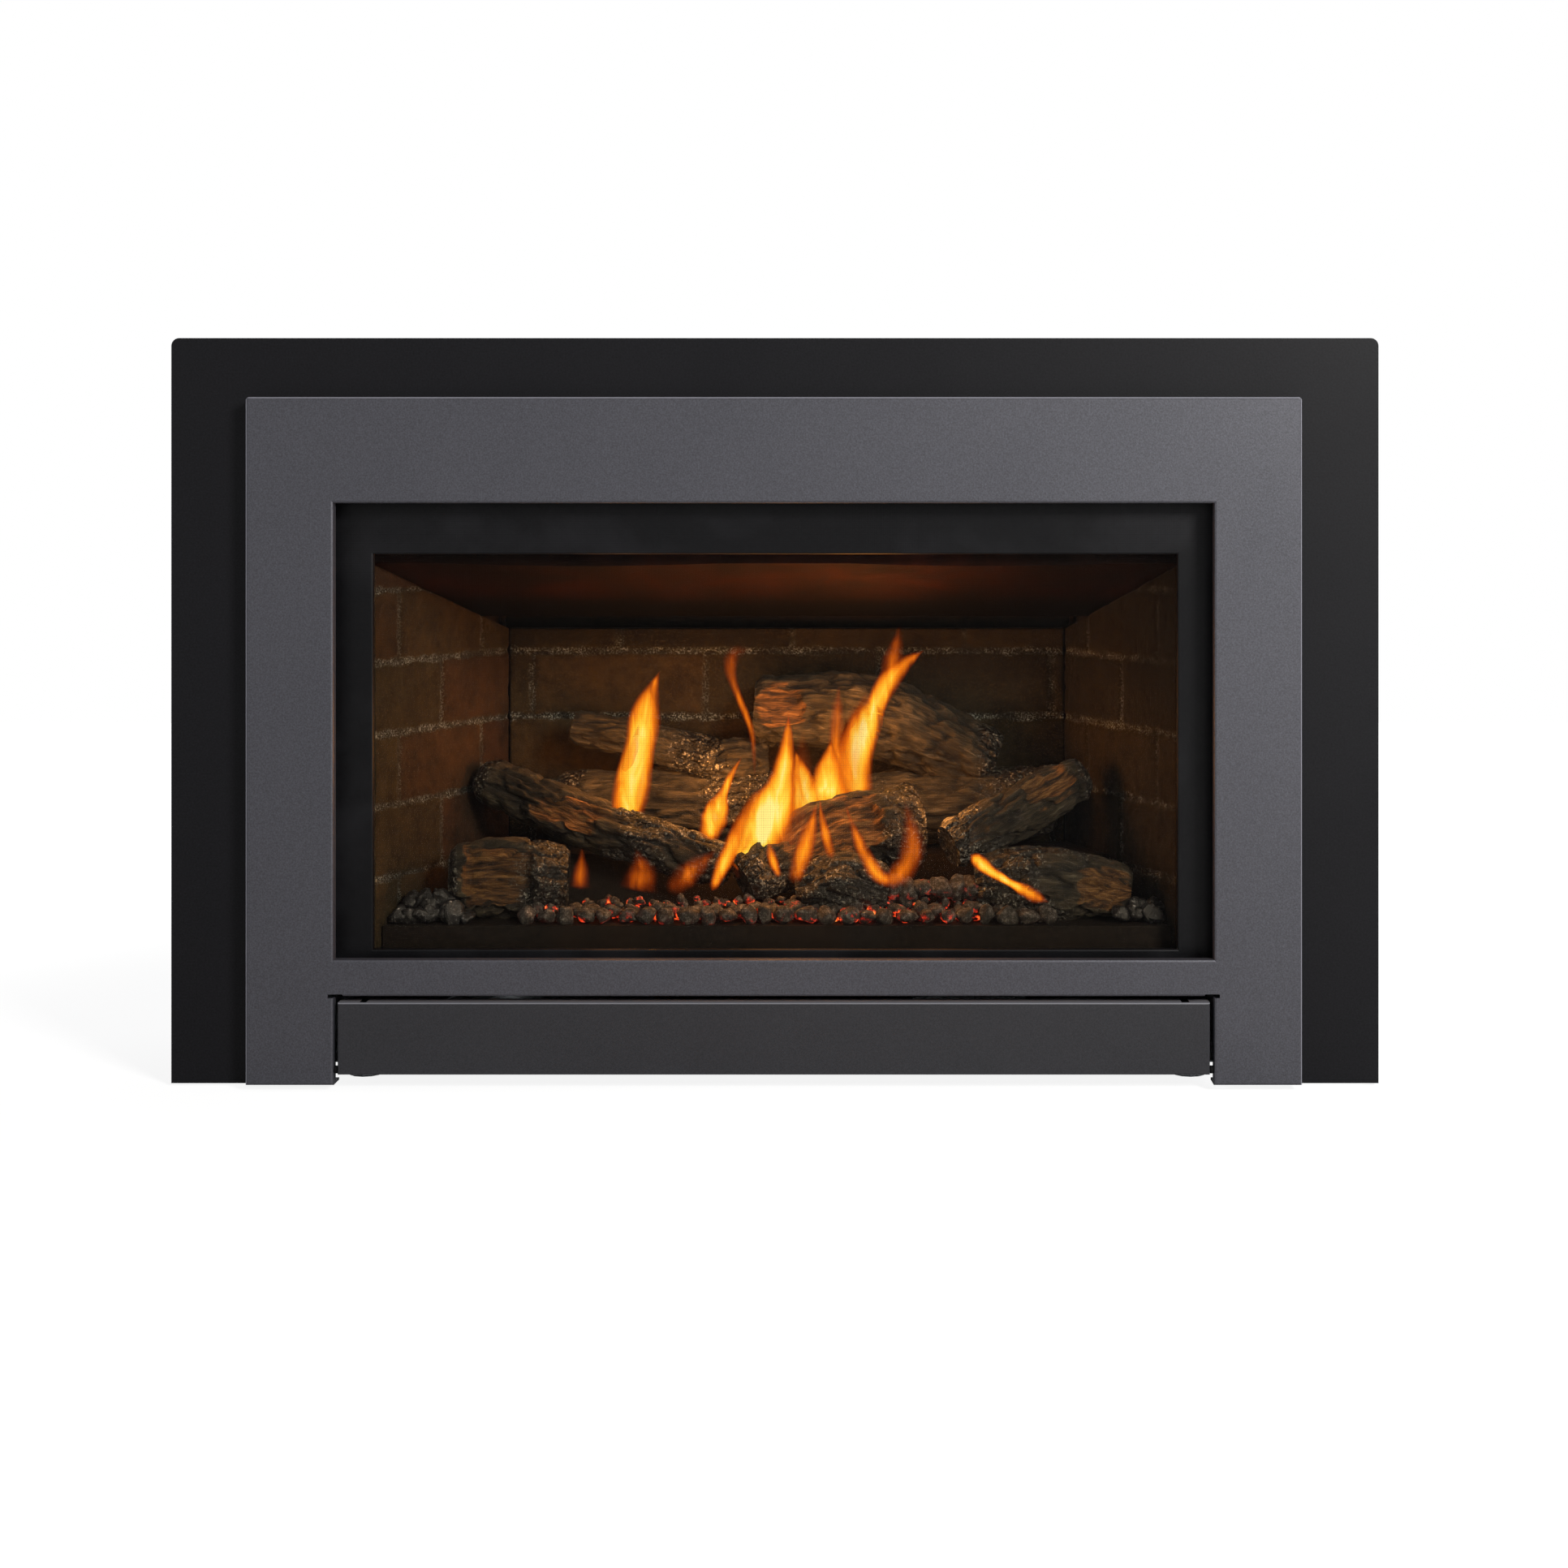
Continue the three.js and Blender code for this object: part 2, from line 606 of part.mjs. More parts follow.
function buildCasing() {
  const plate = (bottom) => prismXY(outline(casingPlan), bottom, bottom + SHEET);
  const stemHoles = footPlaces.map(([x, y]) =>
    cylinder(FOOT_STEM + CLEAR, 8 * SHEET, 16, 'z', x, y, CASING_BOTTOM));
  place('casing_base', cut(plate(CASING_BOTTOM), ...stemHoles), FINISHES.galvanised);

  const ventHoles = [-COLLAR_X, COLLAR_X].map((x) =>
    cylinder(COLLAR_RADIUS + CLEAR, 8 * SHEET, 32, 'z', x, COLLAR_Y, CASING_TOP));
  place('casing_top', cut(plate(casingCeiling), ...ventHoles), FINISHES.galvanised);

  const side = prismXY(stripShape([
    [casingHalf, CASING_FRONT], [casingHalf, CASING_SHOULDER], [casingRearHalf, CASING_BACK],
  ], SHEET), casingFloor + CLEAR, casingCeiling - CLEAR);
  place('casing_right', side, FINISHES.galvanised);
  place('casing_left', mirrored(side), FINISHES.galvanised);

  const rear = box(
    3 * SHEET - casingRearHalf, casingRearHalf - 3 * SHEET, CASING_BACK - SHEET, CASING_BACK,
    casingFloor + CLEAR, casingCeiling - CLEAR,
  );
  place('casing_back', rear, FINISHES.galvanised);

  // angle frame round the mouth of the casing: a collar over the sides and a flange behind the backer
  const flangeFront = backerFace + SHEET + CLEAR;
  const inner = casingHalf + CLEAR;
  const crown = CASING_TOP + CLEAR;
  const flange = prismXZ(archShape(
    inner + FLANGE_WIDTH, inner, CASING_BOTTOM, crown, crown + FLANGE_WIDTH, 2,
  ), flangeFront, flangeFront + SHEET);
  const collar = prismXZ(archShape(
    inner + SHEET, inner, CASING_BOTTOM, crown, crown + SHEET, 1,
  ), flangeFront, flangeFront + FLANGE_LAP);
  place('casing_flange', join(flange, collar), FINISHES.galvanised);

  // levelling feet: pad, lock nut under the base and threaded stem
  footPlaces.forEach(([x, y], i) => {
    const pad = turned([
      [0, 0], [FOOT_PAD - 1, 0], [FOOT_PAD, 1], [FOOT_PAD, 3], [FOOT_STEM + 2, 6], [FOOT_STEM, 6],
      [FOOT_STEM, CASING_BOTTOM + 14], [0, CASING_BOTTOM + 14],
    ], 12, x, y);
    const nut = cylinder(FOOT_STEM + 4, 6, 6, 'z', x, y, CASING_BOTTOM - CLEAR - 3);
    place(`levelling_foot_${i + 1}`, join(pad, nut), FINISHES.galvanised);
  });
}

// ---------------------------------------------------------------- firebox

// plan of the firebox inside its brick faces, moved outwards by a margin
function fireboxPlan(margin, front, back) {
  const half = (y) => brickFrontHalf - (y - BRICK_FRONT) * Math.tan(wallAngle) + margin / Math.cos(wallAngle);
  return outline([[-half(front), front], [half(front), front], [half(back), back], [-half(back), back]]);
}

// stands a solid drawn along X, with its face at Y = 0 and its back at +Y, along the left wall
function alongLeftWall(body) {
  const geometry = surface(body);
  const along = new THREE.Vector3(Math.sin(wallAngle), Math.cos(wallAngle), 0);
  const outward = new THREE.Vector3(-Math.cos(wallAngle), Math.sin(wallAngle), 0);
  geometry.applyMatrix4(new THREE.Matrix4().makeBasis(along, outward, new THREE.Vector3(0, 0, 1)));
  geometry.translate(-brickFrontHalf, BRICK_FRONT, 0);
  return solid(geometry);
}

// a brick panel: a slab whose face carries courses of raised bricks in running bond
function brickPanel(shape, left, right, pitch, start) {
  const slab = prismXZ(shape, MORTAR_DEPTH, PANEL_THICKNESS);
  const bricks = [];
  const firstCourse = Math.floor((FLOOR_TOP - COURSE_TOP) / COURSE_PITCH);
  for (let course = firstCourse; course <= 1; course += 1) {
    const z0 = COURSE_TOP + course * COURSE_PITCH + MORTAR_WIDTH / 2;
    const z1 = z0 + COURSE_PITCH - MORTAR_WIDTH;
    const shift = start + (Math.abs(course) % 2) * (pitch / 2);
    const first = Math.floor((left - shift) / pitch);
    for (let i = first; shift + i * pitch < right; i += 1) {
      const x0 = shift + i * pitch + MORTAR_WIDTH / 2;
      bricks.push(box(x0, x0 + pitch - MORTAR_WIDTH, 0, MORTAR_DEPTH + 1, z0, z1));
    }
  }
  const face = prismXZ(shape, 0, PANEL_THICKNESS);
  return join(slab, join(...bricks).intersect(face));
}

function buildFirebox() {
  const shell = fireboxPlan(shellOffset + SHEET, faceBack + CLEAR, shellBack + SHEET);
  place('firebox_floor', prismXY(shell, FLOOR_TOP - SHEET, FLOOR_TOP), FINISHES.stove);

  const face = ringShape(
    faceHalf, FACE_BOTTOM, FACE_TOP, VIEW_HALF + FACE_LAP, FLOOR_TOP + 1.5, VIEW_TOP + FACE_LAP,
  );
  place('firebox_face', prismXZ(face, FACE_FRONT, faceBack), FINISHES.stove);

  const panelBottom = FLOOR_TOP + CLEAR;
  const sideOutline = outline([
    [0, panelBottom], [wallLength, panelBottom], [wallLength, BRICK_TOP_BACK], [0, BRICK_TOP_FRONT],
  ]);
  const sidePanel = alongLeftWall(brickPanel(sideOutline, 0, wallLength, SIDE_BRICK_PITCH, SIDE_BRICK_START));
  place('brick_panel_left', sidePanel, FINISHES.brick);
  place('brick_panel_right', mirrored(sidePanel), FINISHES.brick);

  const backHalf = brickBackHalf - CLEAR;
  const backOutline = rectangle(-backHalf, backHalf, panelBottom, BRICK_TOP_BACK);
  const backPanel = surface(brickPanel(backOutline, -backHalf, backHalf, BRICK_PITCH, BRICK_START));
  backPanel.translate(0, BRICK_BACK, 0);
  place('brick_panel_back', solid(backPanel), FINISHES.brick);

  const shellTop = ROOF_BOTTOM - CLEAR;
  const wall = alongLeftWall(box(0, wallLength + PANEL_THICKNESS, shellOffset, shellOffset + SHEET,
    panelBottom, shellTop));
  place('firebox_left', wall, FINISHES.stove);
  place('firebox_right', mirrored(wall), FINISHES.stove);

  const rearHalf = brickBackHalf + 9;
  const slotHalf = FLUE_HALF - SLOT_INSET;
  const exhaustSlot = box(-COLLAR_X - slotHalf, slotHalf - COLLAR_X, shellBack - 1, shellBack + SHEET + 1,
    FLUE_BOTTOM + SLOT_INSET, ROOF_BOTTOM - 2 * SLOT_INSET);
  const rear = box(-rearHalf, rearHalf, shellBack, shellBack + SHEET, panelBottom, shellTop);
  place('firebox_back', cut(rear, exhaustSlot), FINISHES.stove);
  place('firebox_roof', prismXY(shell, ROOF_BOTTOM, ROOF_BOTTOM + SHEET), FINISHES.stove);
  buildBaffle();
}

// height of the sloped underside of the baffle, which lies on the outer edges of the side panels
const baffleLift = CLEAR - roofSlope * PANEL_THICKNESS * Math.sin(wallAngle);
const baffleUnder = (y) => BRICK_TOP_FRONT + baffleLift + (y - BRICK_FRONT) * roofSlope;

function buildBaffle() {
  const rise = stripShape([
    [BAFFLE_REAR, baffleUnder(BAFFLE_REAR) + BAFFLE_LIP],
    [BAFFLE_REAR, baffleUnder(BAFFLE_REAR)],
    [BAFFLE_FRONT, baffleUnder(BAFFLE_FRONT)],
    [BAFFLE_FRONT, baffleUnder(BAFFLE_FRONT) + BAFFLE_LIP],
  ], -SHEET);
  const plate = prismYZ(rise, -brickFrontHalf - 12, brickFrontHalf + 12)
    .intersect(prismXY(fireboxPlan(PANEL_THICKNESS - 4, BAFFLE_FRONT - 2, BAFFLE_REAR + 2), PAN_DECK, CASING_TOP));
  // two clamp plates on its front lip, bowed along their lower edge, each with a nut
  const clamps = [CLAMP_LEFT, CLAMP_RIGHT].map(([left, right]) => {
    const middle = (left + right) / 2;
    const shape = new THREE.Shape();
    shape.moveTo(left, CLAMP_BOTTOM + CLAMP_BOW);
    shape.quadraticCurveTo(middle, CLAMP_BOTTOM - CLAMP_BOW, right, CLAMP_BOTTOM + CLAMP_BOW);
    shape.lineTo(right, CLAMP_TOP);
    shape.lineTo(left, CLAMP_TOP);
    const nutX = left < 0 ? left + 66 : right - 55;
    return join(
      prismXZ(shape, faceBack + CLEAR, BAFFLE_FRONT + SHEET / 2),
      cylinder(NUT_RADIUS, 5, 6, 'y', nutX, BAFFLE_FRONT + 2, CLAMP_BOTTOM + 10),
    );
  });
  place('roof_baffle', join(plate, ...clamps), FINISHES.stove);
}

// ---------------------------------------------------------------- burner and fuel bed

// the pan in section: front lip, deck, a step up and the rear deck that carries the back logs
const panLine = [
  [PAN_FRONT, FLOOR_TOP + CLEAR], [PAN_FRONT, PAN_DECK], [PAN_STEP, PAN_DECK],
  [PAN_STEP + PAN_RISE, PAN_REAR_DECK], [PAN_BACK, PAN_REAR_DECK], [PAN_BACK, FLOOR_TOP + CLEAR],
];

// everything under the top of the pan, for pieces that stand on it
const underPan = prismYZ(outline(
  [[0, 90], ...panLine.slice(1, -1).map(([y, z]) => [y, z + CLEAR]), [PAN_BACK + 10, PAN_REAR_DECK + CLEAR],
    [PAN_BACK + 10, 90]],
), -brickFrontHalf, brickFrontHalf);

function buildBurner() {
  const pan = prismYZ(stripShape(panLine, -PAN_SHEET), -brickFrontHalf, brickFrontHalf)
    .intersect(prismXY(fireboxPlan(-PAN_SIDE_GAP, PAN_FRONT - 2, PAN_BACK + 4), CASING_BOTTOM, CASING_TOP));
  place('burner_pan', pan, FINISHES.stove);

  // flat burner tube hung under the front deck
  const top = PAN_DECK - PAN_SHEET - CLEAR;
  const tube = rectangle(BURNER_Y - BURNER_WIDTH / 2, BURNER_Y + BURNER_WIDTH / 2, top - BURNER_HEIGHT, top);
  place('burner_tube', prismYZ(tube, -BURNER_HALF, BURNER_HALF), FINISHES.galvanised);

  // pilot hood with its flame sensor and igniter rods on one bracket
  const pilot = { x: 236, y: 106, z: PAN_DECK + CLEAR };
  place('pilot_burner', join(
    box(pilot.x - 22, pilot.x + 22, pilot.y - 8, pilot.y + 8, pilot.z, pilot.z + 2),
    cylinder(7, 30, 16, 'z', pilot.x, pilot.y, pilot.z + 16),
    cylinder(1.8, 36, 8, 'z', pilot.x - 15, pilot.y, pilot.z + 19),
    cylinder(1.8, 34, 8, 'z', pilot.x + 15, pilot.y, pilot.z + 18),
  ), FINISHES.galvanised);
}

// a rough lump: an icosahedron with its corners pushed in and out
function lump(x, y, z, size, random) {
  const geometry = mergeVertices(new THREE.IcosahedronGeometry(1, 0).deleteAttribute('uv').deleteAttribute('normal'));
  const position = geometry.attributes.position;
  for (let i = 0; i < position.count; i += 1) {
    const scale = 0.8 + 0.4 * random();
    position.setXYZ(i, position.getX(i) * scale * size[0], position.getY(i) * scale * size[1],
      position.getZ(i) * scale * size[2]);
  }
  geometry.rotateZ(random() * 3);
  geometry.translate(x, y, z);
  return solid(geometry);
}

const EMBER_LEFT = -234;
const EMBER_RIGHT = 250;
const EMBER_COUNT = 23;
const EMBER_FRONT = 19;
const EMBER_BACK = 46;
const EMBER_STONE = [12, 8.5, 8.5];
const ROCK_INSET = 12.2; // from the side bricks to the outermost rocks
const ROCK_RUN_LEFT = 70;
const ROCK_RUN_RIGHT = 28;
const ROCK_STONE = [13, 12, 12];

function emberRow(margin) {
  const random = randomStream(71);
  const ridge = prismYZ(outline([
    [EMBER_FRONT, PAN_DECK], [EMBER_BACK + margin, PAN_DECK], [EMBER_BACK + margin, PAN_DECK + 14 + margin],
    [EMBER_FRONT, PAN_DECK + 4 + margin],
  ]), EMBER_LEFT - margin, EMBER_RIGHT + margin);
  const size = EMBER_STONE.map((half) => half + margin);
  const pitch = (EMBER_RIGHT - EMBER_LEFT) / EMBER_COUNT;
  const stones = [];
  for (let i = 0; i < EMBER_COUNT; i += 1) {
    const x = EMBER_LEFT + (i + 0.5) * pitch;
    stones.push(lump(x, EMBER_FRONT + 6 + 2 * random(), PAN_DECK + 9, size, random));
  }
  return cut(join(ridge, ...stones), underPan);
}

function rockPile(left, right, count, seed, neighbours) {
  const random = randomStream(seed);
  const rocks = [];
  const across = Math.ceil(count / 2);
  for (let i = 0; i < count; i += 1) {
    const t = ((i % across) + 0.5) / across;
    const y = i < across ? 29 : 43;
    rocks.push(lump(left + (right - left) * t, y, PAN_DECK + 9 + 4 * random(), ROCK_STONE, random));
  }
  const room = prismXY(fireboxPlan(-2 * PAN_SIDE_GAP, PAN_FRONT, PAN_BACK), CASING_BOTTOM, CASING_TOP);
  return largest(cut(join(...rocks), underPan, ...neighbours).intersect(room));
}

// ---------------------------------------------------------------- logs

// Each log is a bark tube along a bent line. A stop is [x, y, z, radius].
const LOGS = {
  log_rear_base: {
    seed: 3, stops: [[-218, 190, 221, 33], [-110, 196, 223, 38], [20, 198, 220, 35], [150, 196, 222, 38],
      [262, 184, 230, 33]],
  },
  log_front_left: { seed: 5, stops: [[-300, 60, 170, 32], [-250, 62, 171, 36], [-194, 66, 168, 31]] },
  log_front_right: { seed: 11, stops: [[180, 60, 163, 27], [245, 60, 168, 36], [322, 54, 159, 23]] },
  log_front_centre: { seed: 13, stops: [[16, 62, 160, 24], [58, 62, 165, 30], [100, 62, 159, 23]] },
  log_centre: { seed: 17, stops: [[-34, 70, 168, 26], [40, 100, 204, 34], [128, 122, 212, 44]] },
  log_cross_left: { seed: 19, stops: [[-292, 168, 250, 22], [-180, 118, 221, 27], [-46, 78, 184, 22]] },
  log_rear_left: { seed: 23, stops: [[-207, 188, 301, 12], [-140, 186, 286, 17], [-66, 184, 268, 22]] },
  log_rear_top: { seed: 29, stops: [[-28, 200, 316, 32], [80, 200, 310, 38], [204, 196, 264, 30]] },
  log_cross_right: { seed: 31, stops: [[156, 74, 199, 24], [220, 104, 228, 26], [284, 130, 258, 21]] },
};
const REAR_STUB = [[-76, 192, 262, 22], [-52, 194, 266, 24], [-16, 196, 268, 20]];

const LOG_SIDES = 12;
const LOG_RINGS = 7;
const BARK = 0.07; // depth of the bark furrows against the radius

// a closed tube through the stops, its radius furrowed like bark, grown by a margin
function logBody(stops, seed, margin) {
  const random = randomStream(seed);
  const phases = [random(), random(), random()].map((value) => value * 2 * Math.PI);
  const line = new THREE.CatmullRomCurve3(stops.map(([x, y, z]) => new THREE.Vector3(x, y, z)));
  const radii = new THREE.CatmullRomCurve3(stops.map(([, , , r], i) => new THREE.Vector3(i, r, 0)));
  const positions = [];
  const up = new THREE.Vector3(0, 0, 1);
  const length = line.getLength();
  for (let ring = 0; ring < LOG_RINGS; ring += 1) {
    const t = ring / (LOG_RINGS - 1);
    const tangent = line.getTangent(t);
    const side = new THREE.Vector3().crossVectors(tangent, up).normalize();
    const over = new THREE.Vector3().crossVectors(side, tangent).normalize();
    const beyond = (t === 0 ? -margin : 0) + (t === 1 ? margin : 0);
    const centre = line.getPoint(t).addScaledVector(tangent, beyond);
    const radius = radii.getPoint(t).y + margin;
    for (let i = 0; i < LOG_SIDES; i += 1) {
      const angle = (i / LOG_SIDES) * 2 * Math.PI;
      const furrow = BARK * (Math.sin(3 * angle + phases[0] + t * length * 0.02)
        + 0.7 * Math.sin(5 * angle + phases[1] - t * length * 0.03)
        + 0.5 * Math.sin(2 * angle + phases[2] + t * 9));
      const r = radius * (1 + furrow);
      const point = centre.clone()
        .addScaledVector(side, r * Math.cos(angle))
        .addScaledVector(over, r * Math.sin(angle));
      positions.push(point.x, point.y, point.z);
    }
  }
  const ends = [0, 1].map((t) => {
    const tangent = line.getTangent(t);
    return line.getPoint(t).addScaledVector(tangent, (t === 0 ? -1 : 1) * (margin + 2));
  });
  ends.forEach((point) => positions.push(point.x, point.y, point.z));
  const index = [];
  for (let ring = 0; ring < LOG_RINGS - 1; ring += 1) {
    for (let i = 0; i < LOG_SIDES; i += 1) {
      const a = ring * LOG_SIDES + i;
      const b = ring * LOG_SIDES + ((i + 1) % LOG_SIDES);
      index.push(a, b + LOG_SIDES, b, a, a + LOG_SIDES, b + LOG_SIDES);
    }
  }
  const last = (LOG_RINGS - 1) * LOG_SIDES;
  for (let i = 0; i < LOG_SIDES; i += 1) {
    const next = (i + 1) % LOG_SIDES;
    index.push(i, next, LOG_RINGS * LOG_SIDES);
    index.push(last + next, last + i, LOG_RINGS * LOG_SIDES + 1);
  }
  const geometry = new THREE.BufferGeometry();
  geometry.setAttribute('position', new THREE.Float32BufferAttribute(positions, 3));
  geometry.setIndex(index);
  return solid(geometry);
}

// the heaviest of the separate lumps that a cut may leave
const largest = (body) => body.decompose().sort((a, b) => b.volume() - a.volume())[0];

function buildFuelBed() {
  place('ember_bed', emberRow(0), FINISHES.ember);

  // every log is notched where it lies on the logs laid before it, and stays off the brick
  const room = prismXY(fireboxPlan(-2 * CLEAR, PAN_FRONT, BRICK_BACK - CLEAR), CASING_BOTTOM, CASING_TOP);
  const laid = [emberRow(2 * CLEAR)];
  for (const [name, { seed, stops }] of Object.entries(LOGS)) {
    const grown = (margin) => {
      const body = logBody(stops, seed, margin);
      return name === 'log_rear_base' ? join(body, logBody(REAR_STUB, seed + 1, margin)) : body;
    };
    const seated = cut(grown(0).intersect(room), underPan, ...laid);
    place(name, largest(seated), FINISHES.log);
    laid.push(grown(CLEAR + 0.2));
  }
  const rockEnd = brickFrontHalf - ROCK_INSET;
  place('lava_rocks_left', rockPile(-rockEnd, ROCK_RUN_LEFT - rockEnd, 8, 5, laid), FINISHES.lava);
  place('lava_rocks_right', rockPile(rockEnd - ROCK_RUN_RIGHT, rockEnd, 4, 9, laid), FINISHES.lava);
}

// ---------------------------------------------------------------- vents

function buildVents() {
  const bottom = casingCeiling - COLLAR_SOCKET;
  const top = CASING_TOP + COLLAR_HEIGHT;
  const inner = COLLAR_RADIUS - COLLAR_WALL;
  for (const [x, name] of [[-COLLAR_X, 'exhaust_collar'], [COLLAR_X, 'intake_collar']]) {
    // a collar with a resting flange on the casing and a bead that stops the liner
    const tube = turned([
      [inner, bottom], [COLLAR_RADIUS, bottom], [COLLAR_RADIUS, CASING_TOP + CLEAR],
      [COLLAR_RADIUS + 10, CASING_TOP + CLEAR], [COLLAR_RADIUS + 10, CASING_TOP + CLEAR + SHEET],
      [COLLAR_RADIUS, CASING_TOP + CLEAR + SHEET], [COLLAR_RADIUS, top - 34],
      [COLLAR_RADIUS + COLLAR_BEAD, top - 31], [COLLAR_RADIUS, top - 28], [COLLAR_RADIUS, top],
      [inner, top], [inner, bottom],
    ], 24, x, COLLAR_Y);
    place(name, tube, FINISHES.galvanised);
  }

  // exhaust box between the slot in the firebox back and the exhaust collar
  const flueTop = bottom - CLEAR;
  const centre = -COLLAR_X;
  const back = flueFront + FLUE_DEPTH;
  const shell = box(centre - FLUE_HALF, centre + FLUE_HALF, flueFront, back, FLUE_BOTTOM, flueTop);
  const hollow = box(centre - FLUE_HALF + SHEET, centre + FLUE_HALF - SHEET, flueFront - 1, back - SHEET,
    FLUE_BOTTOM + SHEET, flueTop - SHEET);
  const socket = cylinder(COLLAR_RADIUS - COLLAR_WALL, 20, 32, 'z', centre, COLLAR_Y, flueTop);
  place('flue_box', cut(shell, hollow, socket), FINISHES.galvanised);
}

// ---------------------------------------------------------------- controls under the firebox

const VALVE = { x: 168, y: 52, z: 50, width: 92, depth: 60, height: 40 };
const MODULE = { x: 288, y: 72, width: 116, depth: 88, height: 46 };
const SWITCHES = { left: -262, right: -196, y: 2, height: 50 };
const ROCKER = { x: -246, z: 48, width: 13, height: 20, depth: 10, pivot: 4, pin: 1.5, ear: 2 };
const FAN_KNOB = { x: -215, z: 48, radius: 10 };
const SHUTOFF = { x: -70, y: 60, z: 52 };
const BLOWER = { y: 306, z: 66, radius: 26, half: 105, wall: 2, blades: 16, shaft: 3 };

// a knob on a front-facing spindle, with a pointer rib
function knob(x, z, radius, back) {
  return join(
    cylinder(radius, 12, 24, 'y', x, back - 8, z),
    cylinder(3, 12, 12, 'y', x, back, z),
    box(x - 1.5, x + 1.5, back - 16, back - 10, z - radius + 2, z + radius + 1),
  );
}

function buildControls() {
  const floor = casingFloor + CLEAR;
  const valveFront = VALVE.y - VALVE.depth / 2;
  const knobHole = cylinder(3 + CLEAR, 20, 16, 'y', VALVE.x, valveFront, VALVE.z);
  const valve = cut(join(
    box(VALVE.x - VALVE.width / 2, VALVE.x + VALVE.width / 2, valveFront, valveFront + VALVE.depth,
      VALVE.z - VALVE.height / 2, VALVE.z + VALVE.height / 2),
    cylinder(12, 14, 20, 'z', VALVE.x - 24, VALVE.y, VALVE.z + VALVE.height / 2 + 6),
    box(VALVE.x - 30, VALVE.x + 30, VALVE.y - 12, VALVE.y + 12, floor, VALVE.z - VALVE.height / 2 + 1),
  ), knobHole);
  place('gas_valve', valve, FINISHES.aluminium);
  place('flame_knob', knob(VALVE.x, VALVE.z, 13, valveFront - 1), FINISHES.plastic);

  const module = join(
    box(MODULE.x - MODULE.width / 2, MODULE.x + MODULE.width / 2, MODULE.y - MODULE.depth / 2,
      MODULE.y + MODULE.depth / 2, floor, floor + MODULE.height),
    box(MODULE.x - 40, MODULE.x + 40, MODULE.y - MODULE.depth / 2 - 6, MODULE.y - MODULE.depth / 2 + 1,
      floor + 16, floor + 34),
  );
  place('control_module', module, FINISHES.plastic);

  // bent switch panel: an upright plate with two holes and a foot on the casing base, and two ears
  // behind the rocker that carry its pin
  const panel = prismYZ(stripShape([
    [SWITCHES.y, floor + SWITCHES.height], [SWITCHES.y, floor], [SWITCHES.y + 30, floor],
  ], SHEET), SWITCHES.left, SWITCHES.right);
  const rockerHole = box(
    ROCKER.x - ROCKER.width / 2 - CLEAR, ROCKER.x + ROCKER.width / 2 + CLEAR, SWITCHES.y - 2, SWITCHES.y + 4,
    ROCKER.z - ROCKER.height / 2 - CLEAR, ROCKER.z + ROCKER.height / 2 + CLEAR,
  );
  const fanHole = cylinder(3 + CLEAR, 12, 16, 'y', FAN_KNOB.x, SWITCHES.y, FAN_KNOB.z);
  const pivotY = SWITCHES.y + ROCKER.pivot;
  const ears = [-1, 1].map((side) => {
    const inner = ROCKER.x + side * (ROCKER.width / 2 + CLEAR);
    const outer = inner + side * ROCKER.ear;
    return box(Math.min(inner, outer), Math.max(inner, outer), SWITCHES.y, pivotY + ROCKER.pivot,
      ROCKER.z - ROCKER.pin - 3, ROCKER.z + ROCKER.pin + 3);
  });
  const pinHole = cylinder(ROCKER.pin + CLEAR, ROCKER.width + 4 * ROCKER.ear, 12, 'x', ROCKER.x, pivotY,
    ROCKER.z);
  place('switch_panel', cut(join(panel, ...ears), rockerHole, fanHole, pinHole), FINISHES.galvanised);
  place('fan_speed_knob', knob(FAN_KNOB.x, FAN_KNOB.z, FAN_KNOB.radius, SWITCHES.y - 3), FINISHES.plastic);

  // rocker: a shallow V in side view, so that one half stands proud
  const half = ROCKER.height / 2 - 1;
  const rocker = prismYZ(outline([
    [SWITCHES.y - 4, ROCKER.z - half], [SWITCHES.y - 1.5, ROCKER.z], [SWITCHES.y - 4, ROCKER.z + half],
    [SWITCHES.y + 4, ROCKER.z + half - 3], [SWITCHES.y + ROCKER.depth, ROCKER.z],
    [SWITCHES.y + 4, ROCKER.z - half + 3],
  ].reverse()), ROCKER.x - ROCKER.width / 2, ROCKER.x + ROCKER.width / 2);
  const pin = cylinder(ROCKER.pin, ROCKER.width + 2 * ROCKER.ear, 12, 'x', ROCKER.x, pivotY, ROCKER.z);
  place('rocker_switch', join(rocker, pin), FINISHES.plastic);

  // gas cock with a quarter-turn lever on its spindle
  const cock = join(
    cylinder(11, 74, 16, 'x', SHUTOFF.x, SHUTOFF.y, SHUTOFF.z),
    cylinder(14, 14, 6, 'x', SHUTOFF.x - 36, SHUTOFF.y, SHUTOFF.z),
    cylinder(14, 14, 6, 'x', SHUTOFF.x + 36, SHUTOFF.y, SHUTOFF.z),
    cylinder(8, 20, 16, 'y', SHUTOFF.x, SHUTOFF.y - 12, SHUTOFF.z),
    box(SHUTOFF.x - 6, SHUTOFF.x + 6, SHUTOFF.y - 6, SHUTOFF.y + 6, floor, SHUTOFF.z),
  );
  place('shutoff_valve', cock, FINISHES.brass);
  const leverBack = SHUTOFF.y - 22 - CLEAR;
  const lever = join(
    cylinder(7, 6, 16, 'y', SHUTOFF.x, leverBack - 3, SHUTOFF.z),
    box(SHUTOFF.x - 5, SHUTOFF.x + 48, leverBack - 5, leverBack - 1, SHUTOFF.z - 5, SHUTOFF.z + 5),
  );
  place('shutoff_lever', lever, FINISHES.galvanised);
  buildBlower(floor);
}

